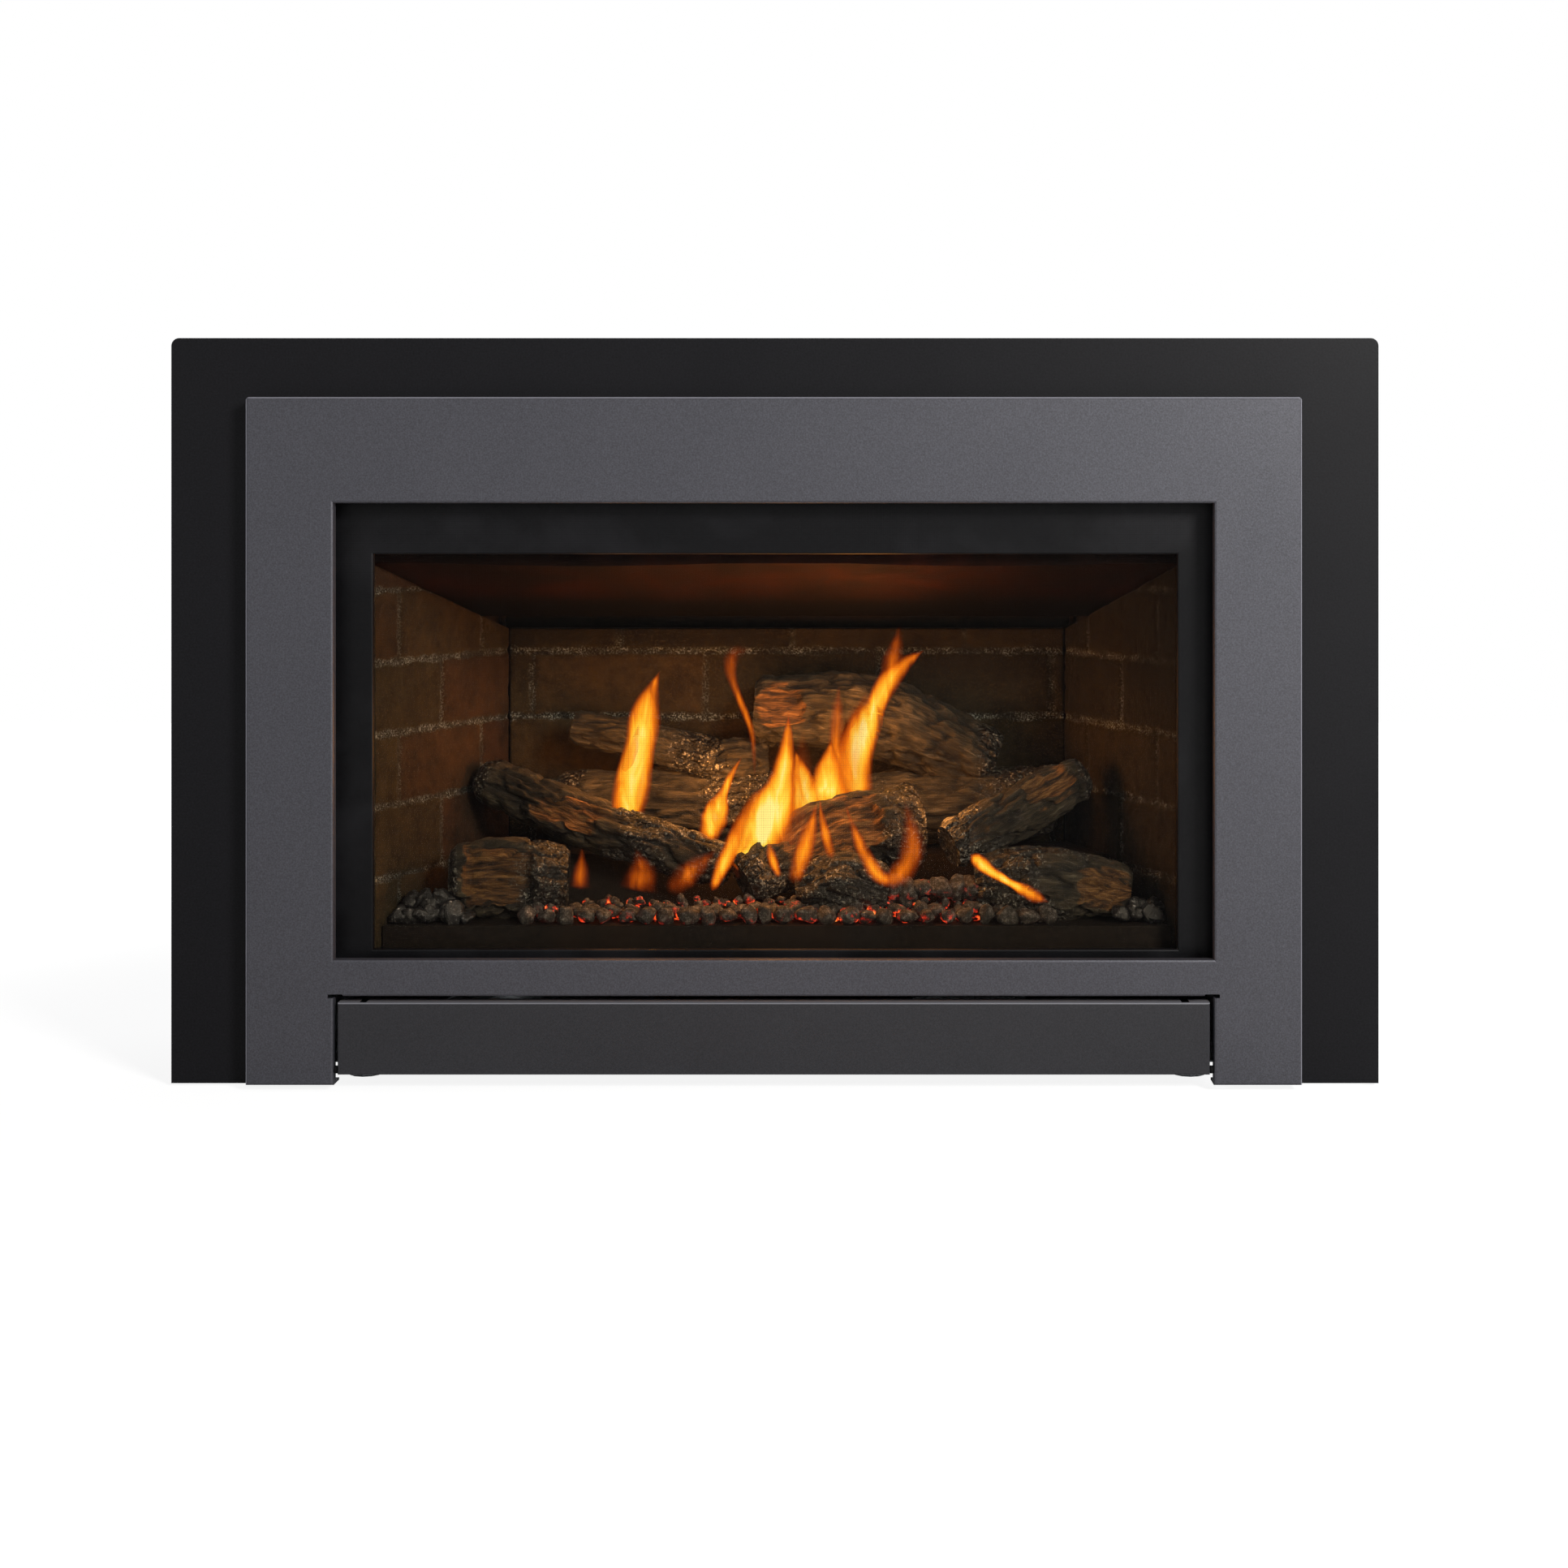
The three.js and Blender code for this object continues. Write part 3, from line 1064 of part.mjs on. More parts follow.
// crossflow blower behind the firebox: an open scroll with end plates, round a bladed drum
function buildBlower(floor) {
  const { y, z, radius, half, wall, blades, shaft } = BLOWER;
  const scroll = [];
  const turns = 12;
  for (let i = 0; i <= turns; i += 1) {
    const angle = (i / turns) * 1.25 * Math.PI - 0.1 * Math.PI;
    const reach = radius + 5 + 8 * (i / turns);
    scroll.push([y + reach * Math.cos(angle), z + reach * Math.sin(angle)]);
  }
  const shell = prismYZ(stripShape(scroll, wall), -half - 6, half + 6);
  const cheek = (x) => cut(
    box(x - wall / 2, x + wall / 2, y - radius - 14, y + radius + 10, floor, z + radius + 14),
    cylinder(shaft + CLEAR, 8, 16, 'x', x, y, z),
  );
  const motor = cylinder(24, 40, 20, 'x', half + 6 + wall / 2 + 20, y, z);
  const shaftRoom = cylinder(shaft + CLEAR, 10, 16, 'x', half + 6, y, z);
  place('blower_housing', cut(join(shell, cheek(-half - 6), cheek(half + 6), motor), shaftRoom),
    FINISHES.galvanised);

  const wheel = [
    cylinder(radius, 2, 24, 'x', -half + 1, y, z),
    cylinder(radius, 2, 24, 'x', half - 1, y, z),
    cylinder(shaft, 2 * half + 14, 12, 'x', 0, y, z),
  ];
  for (let i = 0; i < blades; i += 1) {
    const blade = new THREE.BoxGeometry(2 * half - 2, 1.2, 8);
    blade.rotateX(Math.PI / 5);
    blade.translate(0, 0, radius - 5.5);
    blade.rotateX((i / blades) * 2 * Math.PI);
    blade.translate(0, y, z);
    wheel.push(solid(blade));
  }
  place('blower_wheel', join(...wheel), FINISHES.aluminium);
}

// ---------------------------------------------------------------- the whole insert

buildBacker();
buildOverlay();
buildScreen();
buildDoor();
buildGlass();
buildCasing();
buildFirebox();
buildBurner();
buildFuelBed();
buildVents();
buildControls();

insert.position.y = -(overlayFace + CASING_BACK) / 2;

export default insert;
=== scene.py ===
from functools import partial
import json
import math

import bpy
import numpy as np
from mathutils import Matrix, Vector


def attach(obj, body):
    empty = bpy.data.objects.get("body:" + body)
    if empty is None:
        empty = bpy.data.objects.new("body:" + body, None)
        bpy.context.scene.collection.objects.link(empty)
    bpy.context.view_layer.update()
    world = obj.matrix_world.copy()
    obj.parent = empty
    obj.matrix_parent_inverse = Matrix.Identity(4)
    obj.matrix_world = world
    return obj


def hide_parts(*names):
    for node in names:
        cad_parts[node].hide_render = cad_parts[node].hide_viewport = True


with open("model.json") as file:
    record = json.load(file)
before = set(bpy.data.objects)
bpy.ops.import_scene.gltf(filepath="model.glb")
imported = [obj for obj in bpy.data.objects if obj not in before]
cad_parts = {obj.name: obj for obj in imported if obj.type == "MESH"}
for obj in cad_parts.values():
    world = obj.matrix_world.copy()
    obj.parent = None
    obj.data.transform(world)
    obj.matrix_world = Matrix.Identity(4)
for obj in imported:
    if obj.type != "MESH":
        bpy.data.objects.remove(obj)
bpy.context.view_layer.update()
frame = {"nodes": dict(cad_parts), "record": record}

# ---------------- the insert's places, in millimetres
# x to the right, y into the wall from the facing, z up from the feet

FACING_Y = -178.0                 # where the facing lies in the frame
WINDOW_HALF, WINDOW_BOTTOM, WINDOW_TOP = 385.0, 115.7, 514.8
SCREEN_FRONT = -33.7
FLOOR_TOP = 115.5                 # firebox floor
PAN_DECK = 136.0                  # top of the burner pan
WALL_FRONT = (358.2, 6.3)         # x, y where a side wall of bricks starts
WALL_REAR = (274.6, 236.0)        # and where it meets the rear wall
WALL_TOP_FRONT, WALL_TOP_REAR = 460.0, 394.0
BRICK_THICK = 18.0
COURSE, MORTAR, MORTAR_LINE = 65.0, 5.0, 372.0    # courses are counted from one mortar line
BACK_PITCH, BACK_START = 171.7, -166.0    # a brick with its joint, and where the first one starts
SIDE_PITCH, SIDE_START, SIDE_LENGTH = 150.0, 42.0, 244.4
BACK_HALF = WALL_REAR[0] - 0.3    # the rear wall stops just short of the side walls


def metres(points):
    """Millimetres from the facing and the feet become metres in the frame."""
    points = np.asarray(points, dtype=float) + (0.0, FACING_Y, 0.0)
    return points / 1000.0


# ---------------- numbers that look random, always the same

def lattice(cells, seed):
    """A number from 0 to 1 for each whole cell (n, 3): the sine of a mixed sum, its fraction kept."""
    mix = cells @ np.array([12.9898, 78.233, 37.719]) + seed * 17.17
    return np.modf(np.abs(np.sin(mix) * 43758.5453))[0]


def noise(points, size, seed=0, octaves=4):
    """Value noise from about -1 to 1: lattice numbers blended by smooth steps, halved and doubled per octave.
    size is the length of the largest lump in each direction, in the unit of the points."""
    shape = points.shape[:-1]
    p = points.reshape(-1, 3) / np.asarray(size, dtype=float)
    total, gain = np.zeros(len(p)), 1.0
    for octave in range(octaves):
        base = np.floor(p)
        f = p - base
        f = f * f * (3 - 2 * f)
        value = np.zeros(len(p))
        for corner in np.ndindex(2, 2, 2):
            weight = np.prod(np.where(np.array(corner) == 1, f, 1 - f), axis=1)
            value += weight * lattice(base + corner, seed + octave * 3.1)
        total += gain * (value * 2 - 1)
        gain *= 0.5
        p = p * 2.03 + 5.7
    return total.reshape(shape)


def smooth(low, high, value):
    """0 below low, 1 above high and a smooth S between them."""
    t = np.clip((value - low) / (high - low), 0, 1)
    return t * t * (3 - 2 * t)


# ---------------- meshes from arrays

def join(*parts):
    """Arrays, or single numbers, side by side along a new last axis."""
    return np.stack(np.broadcast_arrays(*parts), axis=-1)


def placed(name, data):
    """A new object in the scene that shows data."""
    made = bpy.data.objects.new(name, data)
    bpy.context.scene.collection.objects.link(made)
    return made


def mesh_piece(name, points, faces, material, body="insert", flat=False, **marks):
    """An object from points in millimetres and faces, a list of arrays of quads or of triangles.
    marks are numbers or vectors kept for each point."""
    mesh = bpy.data.meshes.new(name)
    points = metres(points)
    sizes = np.concatenate([np.full(len(block), block.shape[1]) for block in faces])
    corners = np.concatenate([block.ravel() for block in faces]).astype(np.int32)
    mesh.vertices.add(len(points))
    mesh.vertices.foreach_set("co", points.ravel())
    mesh.loops.add(len(corners))
    mesh.loops.foreach_set("vertex_index", corners)
    mesh.polygons.add(len(sizes))
    mesh.polygons.foreach_set("loop_start", np.concatenate([[0], np.cumsum(sizes)[:-1]]).astype(np.int32))
    mesh.update(calc_edges=True)
    mesh.polygons.foreach_set("use_smooth", np.full(len(sizes), not flat))
    for mark, values in marks.items():
        values = np.asarray(values, dtype=float)
        kind, key = ("FLOAT", "value") if values.ndim == 1 else ("FLOAT_VECTOR", "vector")
        mesh.attributes.new(mark, kind, "POINT").data.foreach_set(key, values.ravel())
    mesh.materials.append(material)
    piece = placed(name, mesh)
    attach(piece, body)
    return piece


def sheet_faces(rows, columns, start=0, around=False):
    """Quads of a grid of points, row by row. around joins the last column to the first."""
    i = np.arange(rows - 1)[:, None]
    j = np.arange(columns if around else columns - 1)[None, :]
    k = (j + 1) % columns
    quads = join(i * columns + j, i * columns + k, (i + 1) * columns + k, (i + 1) * columns + j)
    return quads.reshape(-1, 4) + start


def closed_faces(rows, columns):
    """Faces of a tube of rings, row by row, that ends in a pole on each side, kept after its rings."""
    first, last = np.arange(columns), np.arange(columns) + (rows - 1) * columns
    pole = rows * columns
    fans = np.concatenate([join(np.roll(first, -1), first, pole), join(last, np.roll(last, -1), pole + 1)])
    return [sheet_faces(rows, columns, around=True), fans]


# ---------------- materials

def linear(code, alpha=1.0):
    """An sRGB hex colour as the linear values that the shaders use."""
    parts = [int(code[i:i + 2], 16) / 255 for i in (0, 2, 4)]
    return [p / 12.92 if p <= 0.04045 else ((p + 0.055) / 1.055) ** 2.4 for p in parts] + [alpha]


def fill(node, values=None, links=None):
    """Fills a node's sockets: values are numbers, or hex colours; links are what feeds them, an output, or a
    node for its first output in use."""
    for key, value in (values or {}).items():
        node.inputs[key].default_value = linear(value) if isinstance(value, str) else value
    for key, source in (links or {}).items():
        if isinstance(source, bpy.types.Node):
            source = next(output for output in source.outputs if output.enabled)
        node.id_data.links.new(source, node.inputs[key])


def add_to(tree, kind, values=None, links=None, stops=None, span=(), **settings):
    """Adds a node: settings are its own, values and links fill its sockets, stops colour a ramp and span maps
    a range, low and high, onto another. A Mix node mixes colours: factor 0, colours 6 and 7."""
    made = tree.nodes.new("ShaderNode" + kind)
    if kind == "Mix":
        made.data_type = "RGBA"
    for key, value in settings.items():
        setattr(made, key, value)
    fill(made, values, links)
    fill(made, dict(zip(("From Min", "From Max", "To Min", "To Max"), span)))
    if stops:
        ramp = made.color_ramp
        while len(ramp.elements) < len(stops):
            ramp.elements.new(0.5)
        for element, (place, code) in zip(ramp.elements, stops):
            element.position = place
            element.color = linear(code) if isinstance(code, str) else (code, code, code, 1)
    return made


def material(name):
    """A new material, add for its nodes, its shader joined to the output, and the place of each point."""
    made = bpy.data.materials.new(name)
    made.use_nodes = True
    made.node_tree.nodes.clear()
    add = partial(add_to, made.node_tree)
    shader = add("BsdfPrincipled")
    add("OutputMaterial", links={"Surface": shader})
    return made, add, shader, add("TexCoord").outputs["Object"]


def per_mm(size):
    """The scale of a texture on coordinates in metres whose pattern repeats about every size millimetres."""
    return 1000.0 / size


def coat(name, base, fleck, fleck_mm, peel_mm, peel, roughness, level, spread=0.5, metal=0.0, smudge=None):
    """Sprayed and baked paint: base and fleck colours mixed by fine grain, orange-peel bump, slow drift in
    sheen. smudge is a colour laid on in faint wiped patches."""
    made, add, shader, where = material(name)
    grain = add("TexNoise", {"Scale": per_mm(fleck_mm), "Detail": 1.0}, {"Vector": where})
    share = add("MapRange", links={"Value": grain}, span=(0.5 - spread / 2, 0.5 + spread / 2))
    colour = add("Mix", {6: base, 7: fleck}, {0: share})
    drift = add("TexNoise", {"Scale": per_mm(90), "Detail": 4.0, "Distortion": 0.4}, {"Vector": where})
    if smudge:
        patch = add("MapRange", links={"Value": drift}, span=(0.5, 0.72, 0, 0.55))
        colour = add("Mix", {7: smudge}, {0: patch, 6: colour})
    sheen = add("MapRange", links={"Value": drift}, span=(0.3, 0.7, roughness - 0.05, roughness + 0.06))
    skin = add("TexNoise", {"Scale": per_mm(peel_mm), "Detail": 2.0}, {"Vector": where})
    bump = add("Bump", {"Strength": peel, "Distance": 0.0002}, {"Height": skin})
    fill(shader, {"Metallic": metal, "Specular IOR Level": level},
         {"Base Color": colour, "Roughness": sheen, "Normal": bump})
    return made


# Polyester powder coat, sprayed on sheet steel and baked: fine orange peel and a soft sheen.
backer_coat = coat("satin_black_powder_coat", "09090b", "121215", 1.6, 1.8, 0.2, 0.45, 0.1)
# The same with mica flake in it: a grey that sparkles in grains of under a millimetre.
overlay_coat = coat("grey_flake_powder_coat", "2d2d31", "43434a", 1.3, 1.6, 0.3, 0.45, 0.4, spread=0.6, metal=0.35)
door_coat = coat("dark_grey_powder_coat", "1c1c1f", "27272b", 1.4, 1.6, 0.25, 0.44, 0.25, spread=0.5)


def painted_edge_highlight(finish, node, code, sides):
    """A painted highlight on an outer bend, for the light that its rounded edge catches: within about a
    millimetre of the node's top, and of its sides where asked, the coat turns to the lighter colour."""
    add = partial(add_to, finish.node_tree)
    spots = np.zeros(3 * len(frame["nodes"][node].data.vertices))
    frame["nodes"][node].data.vertices.foreach_get("co", spots)
    half, _, top = np.abs(spots.reshape(-1, 3)).max(axis=0)
    parts = add("SeparateXYZ", links={"Vector": add("TexCoord").outputs["Object"]})
    over = add("MapRange", links={"Value": parts.outputs["Z"]}, span=(top - 0.0012, top - 0.0008, 0, 0.8))
    away = add("Math", links={0: parts.outputs["X"]}, operation="ABSOLUTE")
    aside = add("MapRange", links={"Value": away}, span=(half - 0.0012, half - 0.0008, 0, 0.8 * sides))
    share = add("Math", links={0: over, 1: aside}, operation="MAXIMUM")
    shader = finish.node_tree.nodes["Principled BSDF"]
    coated = shader.inputs["Base Color"].links[0].from_socket
    fill(shader, links={"Base Color": add("Mix", {7: code}, {0: share, 6: coated})})


# Painted highlights: a lighter line along the top and sides of the overlay and along the top of the door.
painted_edge_highlight(overlay_coat, "overlay_frame", "8c8c96", 1)
painted_edge_highlight(door_coat, "control_door", "77777d", 0)
# Heat-proof silicone paint, sprayed thin: even, dark and satin, with wiped marks of soot.
frame_coat = coat("satin_heatproof_paint", "08080a", "0e0e10", 2.2, 2.4, 0.2, 0.36, 0.13, smudge="222225")
# The matt heat-proof black inside the firebox: soot takes its sheen away.
stove_paint = coat("matt_heatproof_black", "110e0c", "221c18", 3.0, 2.5, 0.4, 0.72, 0.12, smudge="2a2019")
# Moulded ABS: fine spark-eroded grain, no flake.
plastic = coat("moulded_black_abs", "141415", "1b1b1c", 0.8, 0.8, 0.3, 0.5, 0.4)


def bare_metal(name, base, shade, grain_mm, roughness, stretch=(1, 1, 1)):
    """Bare metal: two close tones in grains of grain_mm, longer along the stretched axes, with uneven shine."""
    made, add, shader, where = material(name)
    turned = add("Mapping", {"Scale": stretch}, {"Vector": where})
    grain = add("TexNoise", {"Scale": per_mm(grain_mm), "Detail": 5.0}, {"Vector": turned})
    tint = add("ValToRGB", links={"Fac": grain}, stops=[(0.35, shade), (0.65, base)])
    shine = add("MapRange", links={"Value": grain}, span=(0.3, 0.7, roughness - 0.08, roughness + 0.1))
    bump = add("Bump", {"Strength": 0.2, "Distance": 0.0002}, {"Height": grain})
    fill(shader, {"Metallic": 0.9}, {"Base Color": tint, "Roughness": shine, "Normal": bump})
    return made


# Hot-dip galvanised sheet: grey zinc crystals about a centimetre across, dull and uneven.
galvanised = bare_metal("galvanised_sheet_steel", "a3a7ab", "7f8489", 11, 0.42)
# Die-cast aluminium: pale, fine-grained and softly shining.
cast_aluminium = bare_metal("die_cast_aluminium", "b6b8bb", "9a9da1", 2.5, 0.45)
# Turned and forged brass, a little dulled.
brass = bare_metal("dulled_brass", "b9924c", "94702f", 3, 0.35, (4, 1, 1))


def ceramic_glass_material():
    """Clear glass ceramic: see-through, with the faint warm grey of its mass and a polished face."""
    made, add, shader, where = material("glass_ceramic")
    haze = add("TexNoise", {"Scale": per_mm(60), "Detail": 3.0}, {"Vector": where})
    film = add("MapRange", links={"Value": haze}, span=(0.4, 0.75, 0.02, 0.05))
    tint = add("ValToRGB", links={"Fac": haze}, stops=[(0.3, "fbf8f2"), (0.7, "f4efe6")])
    clear = add("BsdfTransparent", links={"Color": tint})
    fill(shader, {"Base Color": "0c0c0c", "Specular IOR Level": 0.25}, {"Roughness": film})
    mix = add("MixShader", {0: 0.04}, {1: clear, 2: shader})
    fill(made.node_tree.nodes["Material Output"], links={"Surface": mix})
    return made


clear_glass = ceramic_glass_material()


def rope_material():
    """Knitted glass-fibre rope: grey ribs of yarn about 2 mm apart."""
    made, add, shader, where = material("knitted_glass_rope")
    yarn = add("TexWave", {"Scale": per_mm(2) / 6.28, "Distortion": 1.5}, {"Vector": where})
    tint = add("ValToRGB", links={"Fac": yarn.outputs["Fac"]}, stops=[(0.2, "3b3a38"), (0.8, "6a6864")])
    bump = add("Bump", {"Strength": 0.5, "Distance": 0.0004}, {"Height": yarn.outputs["Fac"]})
    fill(shader, {"Roughness": 0.95}, {"Base Color": tint, "Normal": bump})
    return made


glass_rope = rope_material()


def baffle_material():
    """Steel sheet that the fire has scaled: rust-red and brown oxide, cloudy. Painted shade darkens it towards
    its sides, which leaves a painted pool of flame light in the middle, and a painted shadow lies along its low
    rear edge."""
    made, add, shader, where = material("fire_scaled_steel")
    cloud = add("TexNoise", {"Scale": per_mm(70), "Detail": 6.0, "Roughness": 0.6, "Distortion": 0.5},
                {"Vector": where})
    oxide = add("ValToRGB", links={"Fac": cloud}, stops=[(0.3, "150906"), (0.5, "281007"), (0.7, "3c1809")])
    parts = add("SeparateXYZ", links={"Vector": where})
    # Painted shade: darker away from the middle under the flames, and a painted shadow along the low rear edge.
    aside = add("Math", {1: -0.03}, {0: parts.outputs["X"]}, operation="ADD")
    away = add("Math", links={0: aside}, operation="ABSOLUTE")
    wide = add("MapRange", links={"Value": away}, span=(0.08, 0.26, 0, 0.55), interpolation_type="SMOOTHSTEP")
    low = add("MapRange", links={"Value": parts.outputs["Z"]}, span=(0.452, 0.418), interpolation_type="SMOOTHSTEP")
    soot = add("Math", links={0: wide, 1: low}, operation="MAXIMUM")
    oxide_and_painted_shade = add("Mix", {7: "030202"}, {0: soot, 6: oxide})
    grit = add("TexNoise", {"Scale": per_mm(2.5), "Detail": 3.0}, {"Vector": where})
    bump = add("Bump", {"Strength": 0.3, "Distance": 0.0004}, {"Height": grit})
    fill(shader, {"Roughness": 0.8, "Specular IOR Level": 0.08}, {"Base Color": oxide_and_painted_shade, "Normal": bump})
    return made


scaled_steel = baffle_material()
# Drawn steel wire and pins, blackened: nearly no shine, tone a little uneven.
black_steel = coat("blackened_steel_wire", "060607", "0f0f10", 14, 6, 0.1, 0.6, 0.05)
NODE_FINISH = {"roof_baffle": scaled_steel, "door_hinge_pin_left": black_steel, "door_hinge_pin_right": black_steel,
               "barrier_screen_frame": black_steel}
FINISH_OF = {
    "backer_coat": backer_coat, "overlay_coat": overlay_coat, "door_coat": door_coat, "frame_coat": frame_coat,
    "screen": backer_coat, "steel": galvanised, "glass": clear_glass, "rope": glass_rope, "stove": stove_paint,
    "plastic": plastic, "brass": brass, "aluminium": cast_aluminium,
}
for part in frame["record"]["subparts"]:
    finish = NODE_FINISH.get(part["node"], FINISH_OF.get(part["material_slot"]))
    if finish:
        painted = frame["nodes"][part["node"]].data.materials
        painted.clear()
        painted.append(finish)

# ---------------- brick panels

def brick_material():
    """Moulded refractory fibre, painted as brick: each brick its own mixed red, brown or olive with iron
    spots and pits, and pale grey sanded mortar between. Matt all over."""
    made, add, shader, where = material("painted_refractory_brick")
    tone, joint, soot = (add("Attribute", attribute_name=mark).outputs["Fac"]
                         for mark in ("tone", "joint", "soot"))
    body = add("ValToRGB", links={"Fac": tone}, stops=[
        (0.0, "221f1a"), (0.25, "2e291e"), (0.5, "3d331f"), (0.75, "443320"), (1.0, "3a241a")])
    cloud = add("TexNoise", {"Scale": per_mm(22), "Detail": 9.0, "Roughness": 0.78}, {"Vector": where})
    share = add("MapRange", links={"Value": cloud}, span=(0.4, 0.66, 0, 0.85))
    mixed = add("Mix", {7: "15110d"}, {0: share, 6: body})
    sand = add("TexNoise", {"Scale": per_mm(1.6), "Detail": 2.0}, {"Vector": where})
    speck = add("MapRange", links={"Value": sand}, span=(0.56, 0.68, 0, 0.5))
    speckled = add("Mix", {7: "54452f"}, {0: speck, 6: mixed})
    grey = add("ValToRGB", links={"Fac": sand}, stops=[
        (0.38, "181816"), (0.5, "444643"), (0.6, "7d827e"), (0.7, "a8aeaa")])
    gone = add("TexNoise", {"Scale": per_mm(14), "Detail": 3.0}, {"Vector": where})
    worn = add("MapRange", links={"Value": gone}, span=(0.4, 0.62, 0, 0.8))
    mortar = add("Mix", {7: "1c1916"}, {0: worn, 6: grey})
    jointed = add("Mix", links={0: joint, 6: speckled, 7: mortar})
    sooty = add("Mix", {7: "0b0806"}, {0: soot, 6: jointed})
    dents = add("Bump", {"Strength": 0.7, "Distance": 0.003}, {"Height": cloud})
    bump = add("Bump", {"Strength": 0.8, "Distance": 0.001}, {"Height": sand, "Normal": dents})
    fill(shader, {"Roughness": 0.9, "Specular IOR Level": 0.2}, {"Base Color": sooty, "Normal": bump})
    return made


brick = brick_material()


def brick_field(u, v, start, pitch, seed):
    """Depth under the face, mortar share and tone at u along a wall and v up it. Courses are counted from
    the mortar line and every other one starts half a brick along. A brick's face is level, its edge rounds
    off over 4 mm beyond a wavering line, and mortar lies 3 mm deeper, half as pale in the upright joints."""
    wander = join(u, v, 0)
    course = np.floor((v - MORTAR_LINE) / COURSE)
    along = (u - start) / pitch - np.where(course % 2 == 0, 0.0, 0.5)
    column = np.floor(along)
    to_side = np.abs(along - np.round(along)) * pitch
    to_bed = np.abs((v - MORTAR_LINE) / COURSE - np.round((v - MORTAR_LINE) / COURSE)) * COURSE
    inside = np.minimum(to_side, to_bed) - MORTAR / 2 + 1.5 * noise(wander, 16, seed, 3)
    rise = smooth(-1.5, 2.8, inside)
    own = join(course, column, seed).reshape(-1, 3)
    level = lattice(own, seed + 1).reshape(u.shape)
    tone = lattice(own, seed + 2).reshape(u.shape)
    pits = np.maximum(noise(wander, 7, seed + 3, 3) - 0.45, 0) * 2.2
    worn = 0.35 * (noise(wander, 30, seed + 4, 4) + 1.2)
    depth = (1 - rise) * (2.6 + 0.5 * noise(wander, 5, seed + 5, 2)) + rise * (0.7 * level + pits + worn)
    upright = smooth(0.0, 3.0, to_bed - to_side)
    return depth, (1 - 0.5 * upright) * (1 - smooth(0.15, 0.8, rise)), tone


def brick_wall(name, foot_a, foot_b, top_a, top_b, start, pitch, seed, tone_of, soot_of, step=2.2):
    """A panel whose face stands on the line from foot_a to foot_b (x, y): a grid over its length and height,
    sunk by the brick field, with a flat back BRICK_THICK behind. It faces the left of that line's way."""
    foot_a, foot_b = np.array(foot_a, float), np.array(foot_b, float)
    length = np.linalg.norm(foot_b - foot_a)
    way = (foot_b - foot_a) / length
    behind = np.array([way[1], -way[0]])
    columns, rows = int(length / step) + 1, int((max(top_a, top_b) - FLOOR_TOP) / step) + 1
    s, t = np.meshgrid(np.linspace(0, 1, columns), np.linspace(0, 1, rows))
    u = s * length
    v = FLOOR_TOP + t * (top_a + (top_b - top_a) * s - FLOOR_TOP)
    depth, joint, tone = brick_field(u, v, start, pitch, seed)
    rim = (s == 0) | (s == 1) | (t == 0) | (t == 1)
    depth = np.where(rim, np.maximum(depth, 0.4), np.maximum(depth, 0.0))
    i = np.arange(rows * columns).reshape(rows, columns)
    edge = np.concatenate([i[0, :-1], i[:-1, -1], i[-1, :0:-1], i[:0:-1, 0]])
    u, v = np.append(u.ravel(), u.ravel()[edge]), np.append(v.ravel(), v.ravel()[edge])
    deep = np.append(depth.ravel(), np.full(len(edge), BRICK_THICK))
    points = join(*(foot_a[k] + way[k] * u + behind[k] * deep for k in (0, 1)), v)
    k = rows * columns + np.arange(len(edge))
    faces = [sheet_faces(rows, columns)[:, ::-1], join(np.roll(edge, -1), np.roll(k, -1), k, edge), k[None]]
    panel = mesh_piece(
        f"{name}_laid", points, faces, brick, joint=np.append(joint.ravel(), np.zeros(len(edge))),
        tone=tone_of(np.append(tone.ravel(), np.full(len(edge), 0.4))), soot=np.clip(soot_of(u / length, v), 0, 1))
    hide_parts(name)


def wall_soot(front, top):
    """Soot that grows towards the top of a panel and towards the end where the panel starts."""
    def share(s, v):
        spread = noise(join(s * 240, v, 0), 60, 9, 3)
        return front * (1 - s) + top * smooth(300, 400, v + 25 * spread) + 0.12 * spread
    return share


brick_wall("brick_panel_left", (-WALL_REAR[0], WALL_REAR[1]), (-WALL_FRONT[0], WALL_FRONT[1]), WALL_TOP_REAR,
           WALL_TOP_FRONT, SIDE_LENGTH - SIDE_START, SIDE_PITCH, 3, lambda t: 0.35 + 0.6 * t, wall_soot(0.25, 0.2))
brick_wall("brick_panel_back", (BACK_HALF, WALL_REAR[1]), (-BACK_HALF, WALL_REAR[1]), WALL_TOP_REAR, WALL_TOP_REAR,
           WALL_REAR[0] - BACK_START, BACK_PITCH, 5, lambda t: 0.1 + 0.5 * t, wall_soot(0.1, 0.45))
brick_wall("brick_panel_right", WALL_FRONT, WALL_REAR, WALL_TOP_FRONT, WALL_TOP_REAR, SIDE_START, SIDE_PITCH, 7,
           lambda t: 0.0 + 0.4 * t, wall_soot(0.55, 0.35))


WELD_X, WELD_Y, WELD_RADIUS = 284.3, 253.2, 3.4


def corner_weld(name, side):
    """The seam weld in a rear corner of the steel firebox: a bead from floor to roof, its radius
    WELD_RADIUS + 0.5 noise(z), in the finish of the walls that it joins."""
    rows, columns = 90, 10
    z = np.linspace(FLOOR_TOP, WALL_TOP_REAR + 22, rows)[:, None]
    angle = np.linspace(0, 2 * np.pi, columns, endpoint=False)[None, :]
    r = WELD_RADIUS + 0.5 * noise(join(0, 0, z), 4, 31, 2)
    ring = join(side * WELD_X + r * np.cos(angle), WELD_Y + r * np.sin(angle), z)
    first, last = np.arange(columns)[::-1], np.arange(columns) + (rows - 1) * columns
    bead = mesh_piece(name, ring.reshape(-1, 3), [sheet_faces(rows, columns, around=True), first[None], last[None]],
                      stove_paint)


corner_weld("firebox_corner_weld_left", -1)
corner_weld("firebox_corner_weld_right", 1)

# ---------------- logs

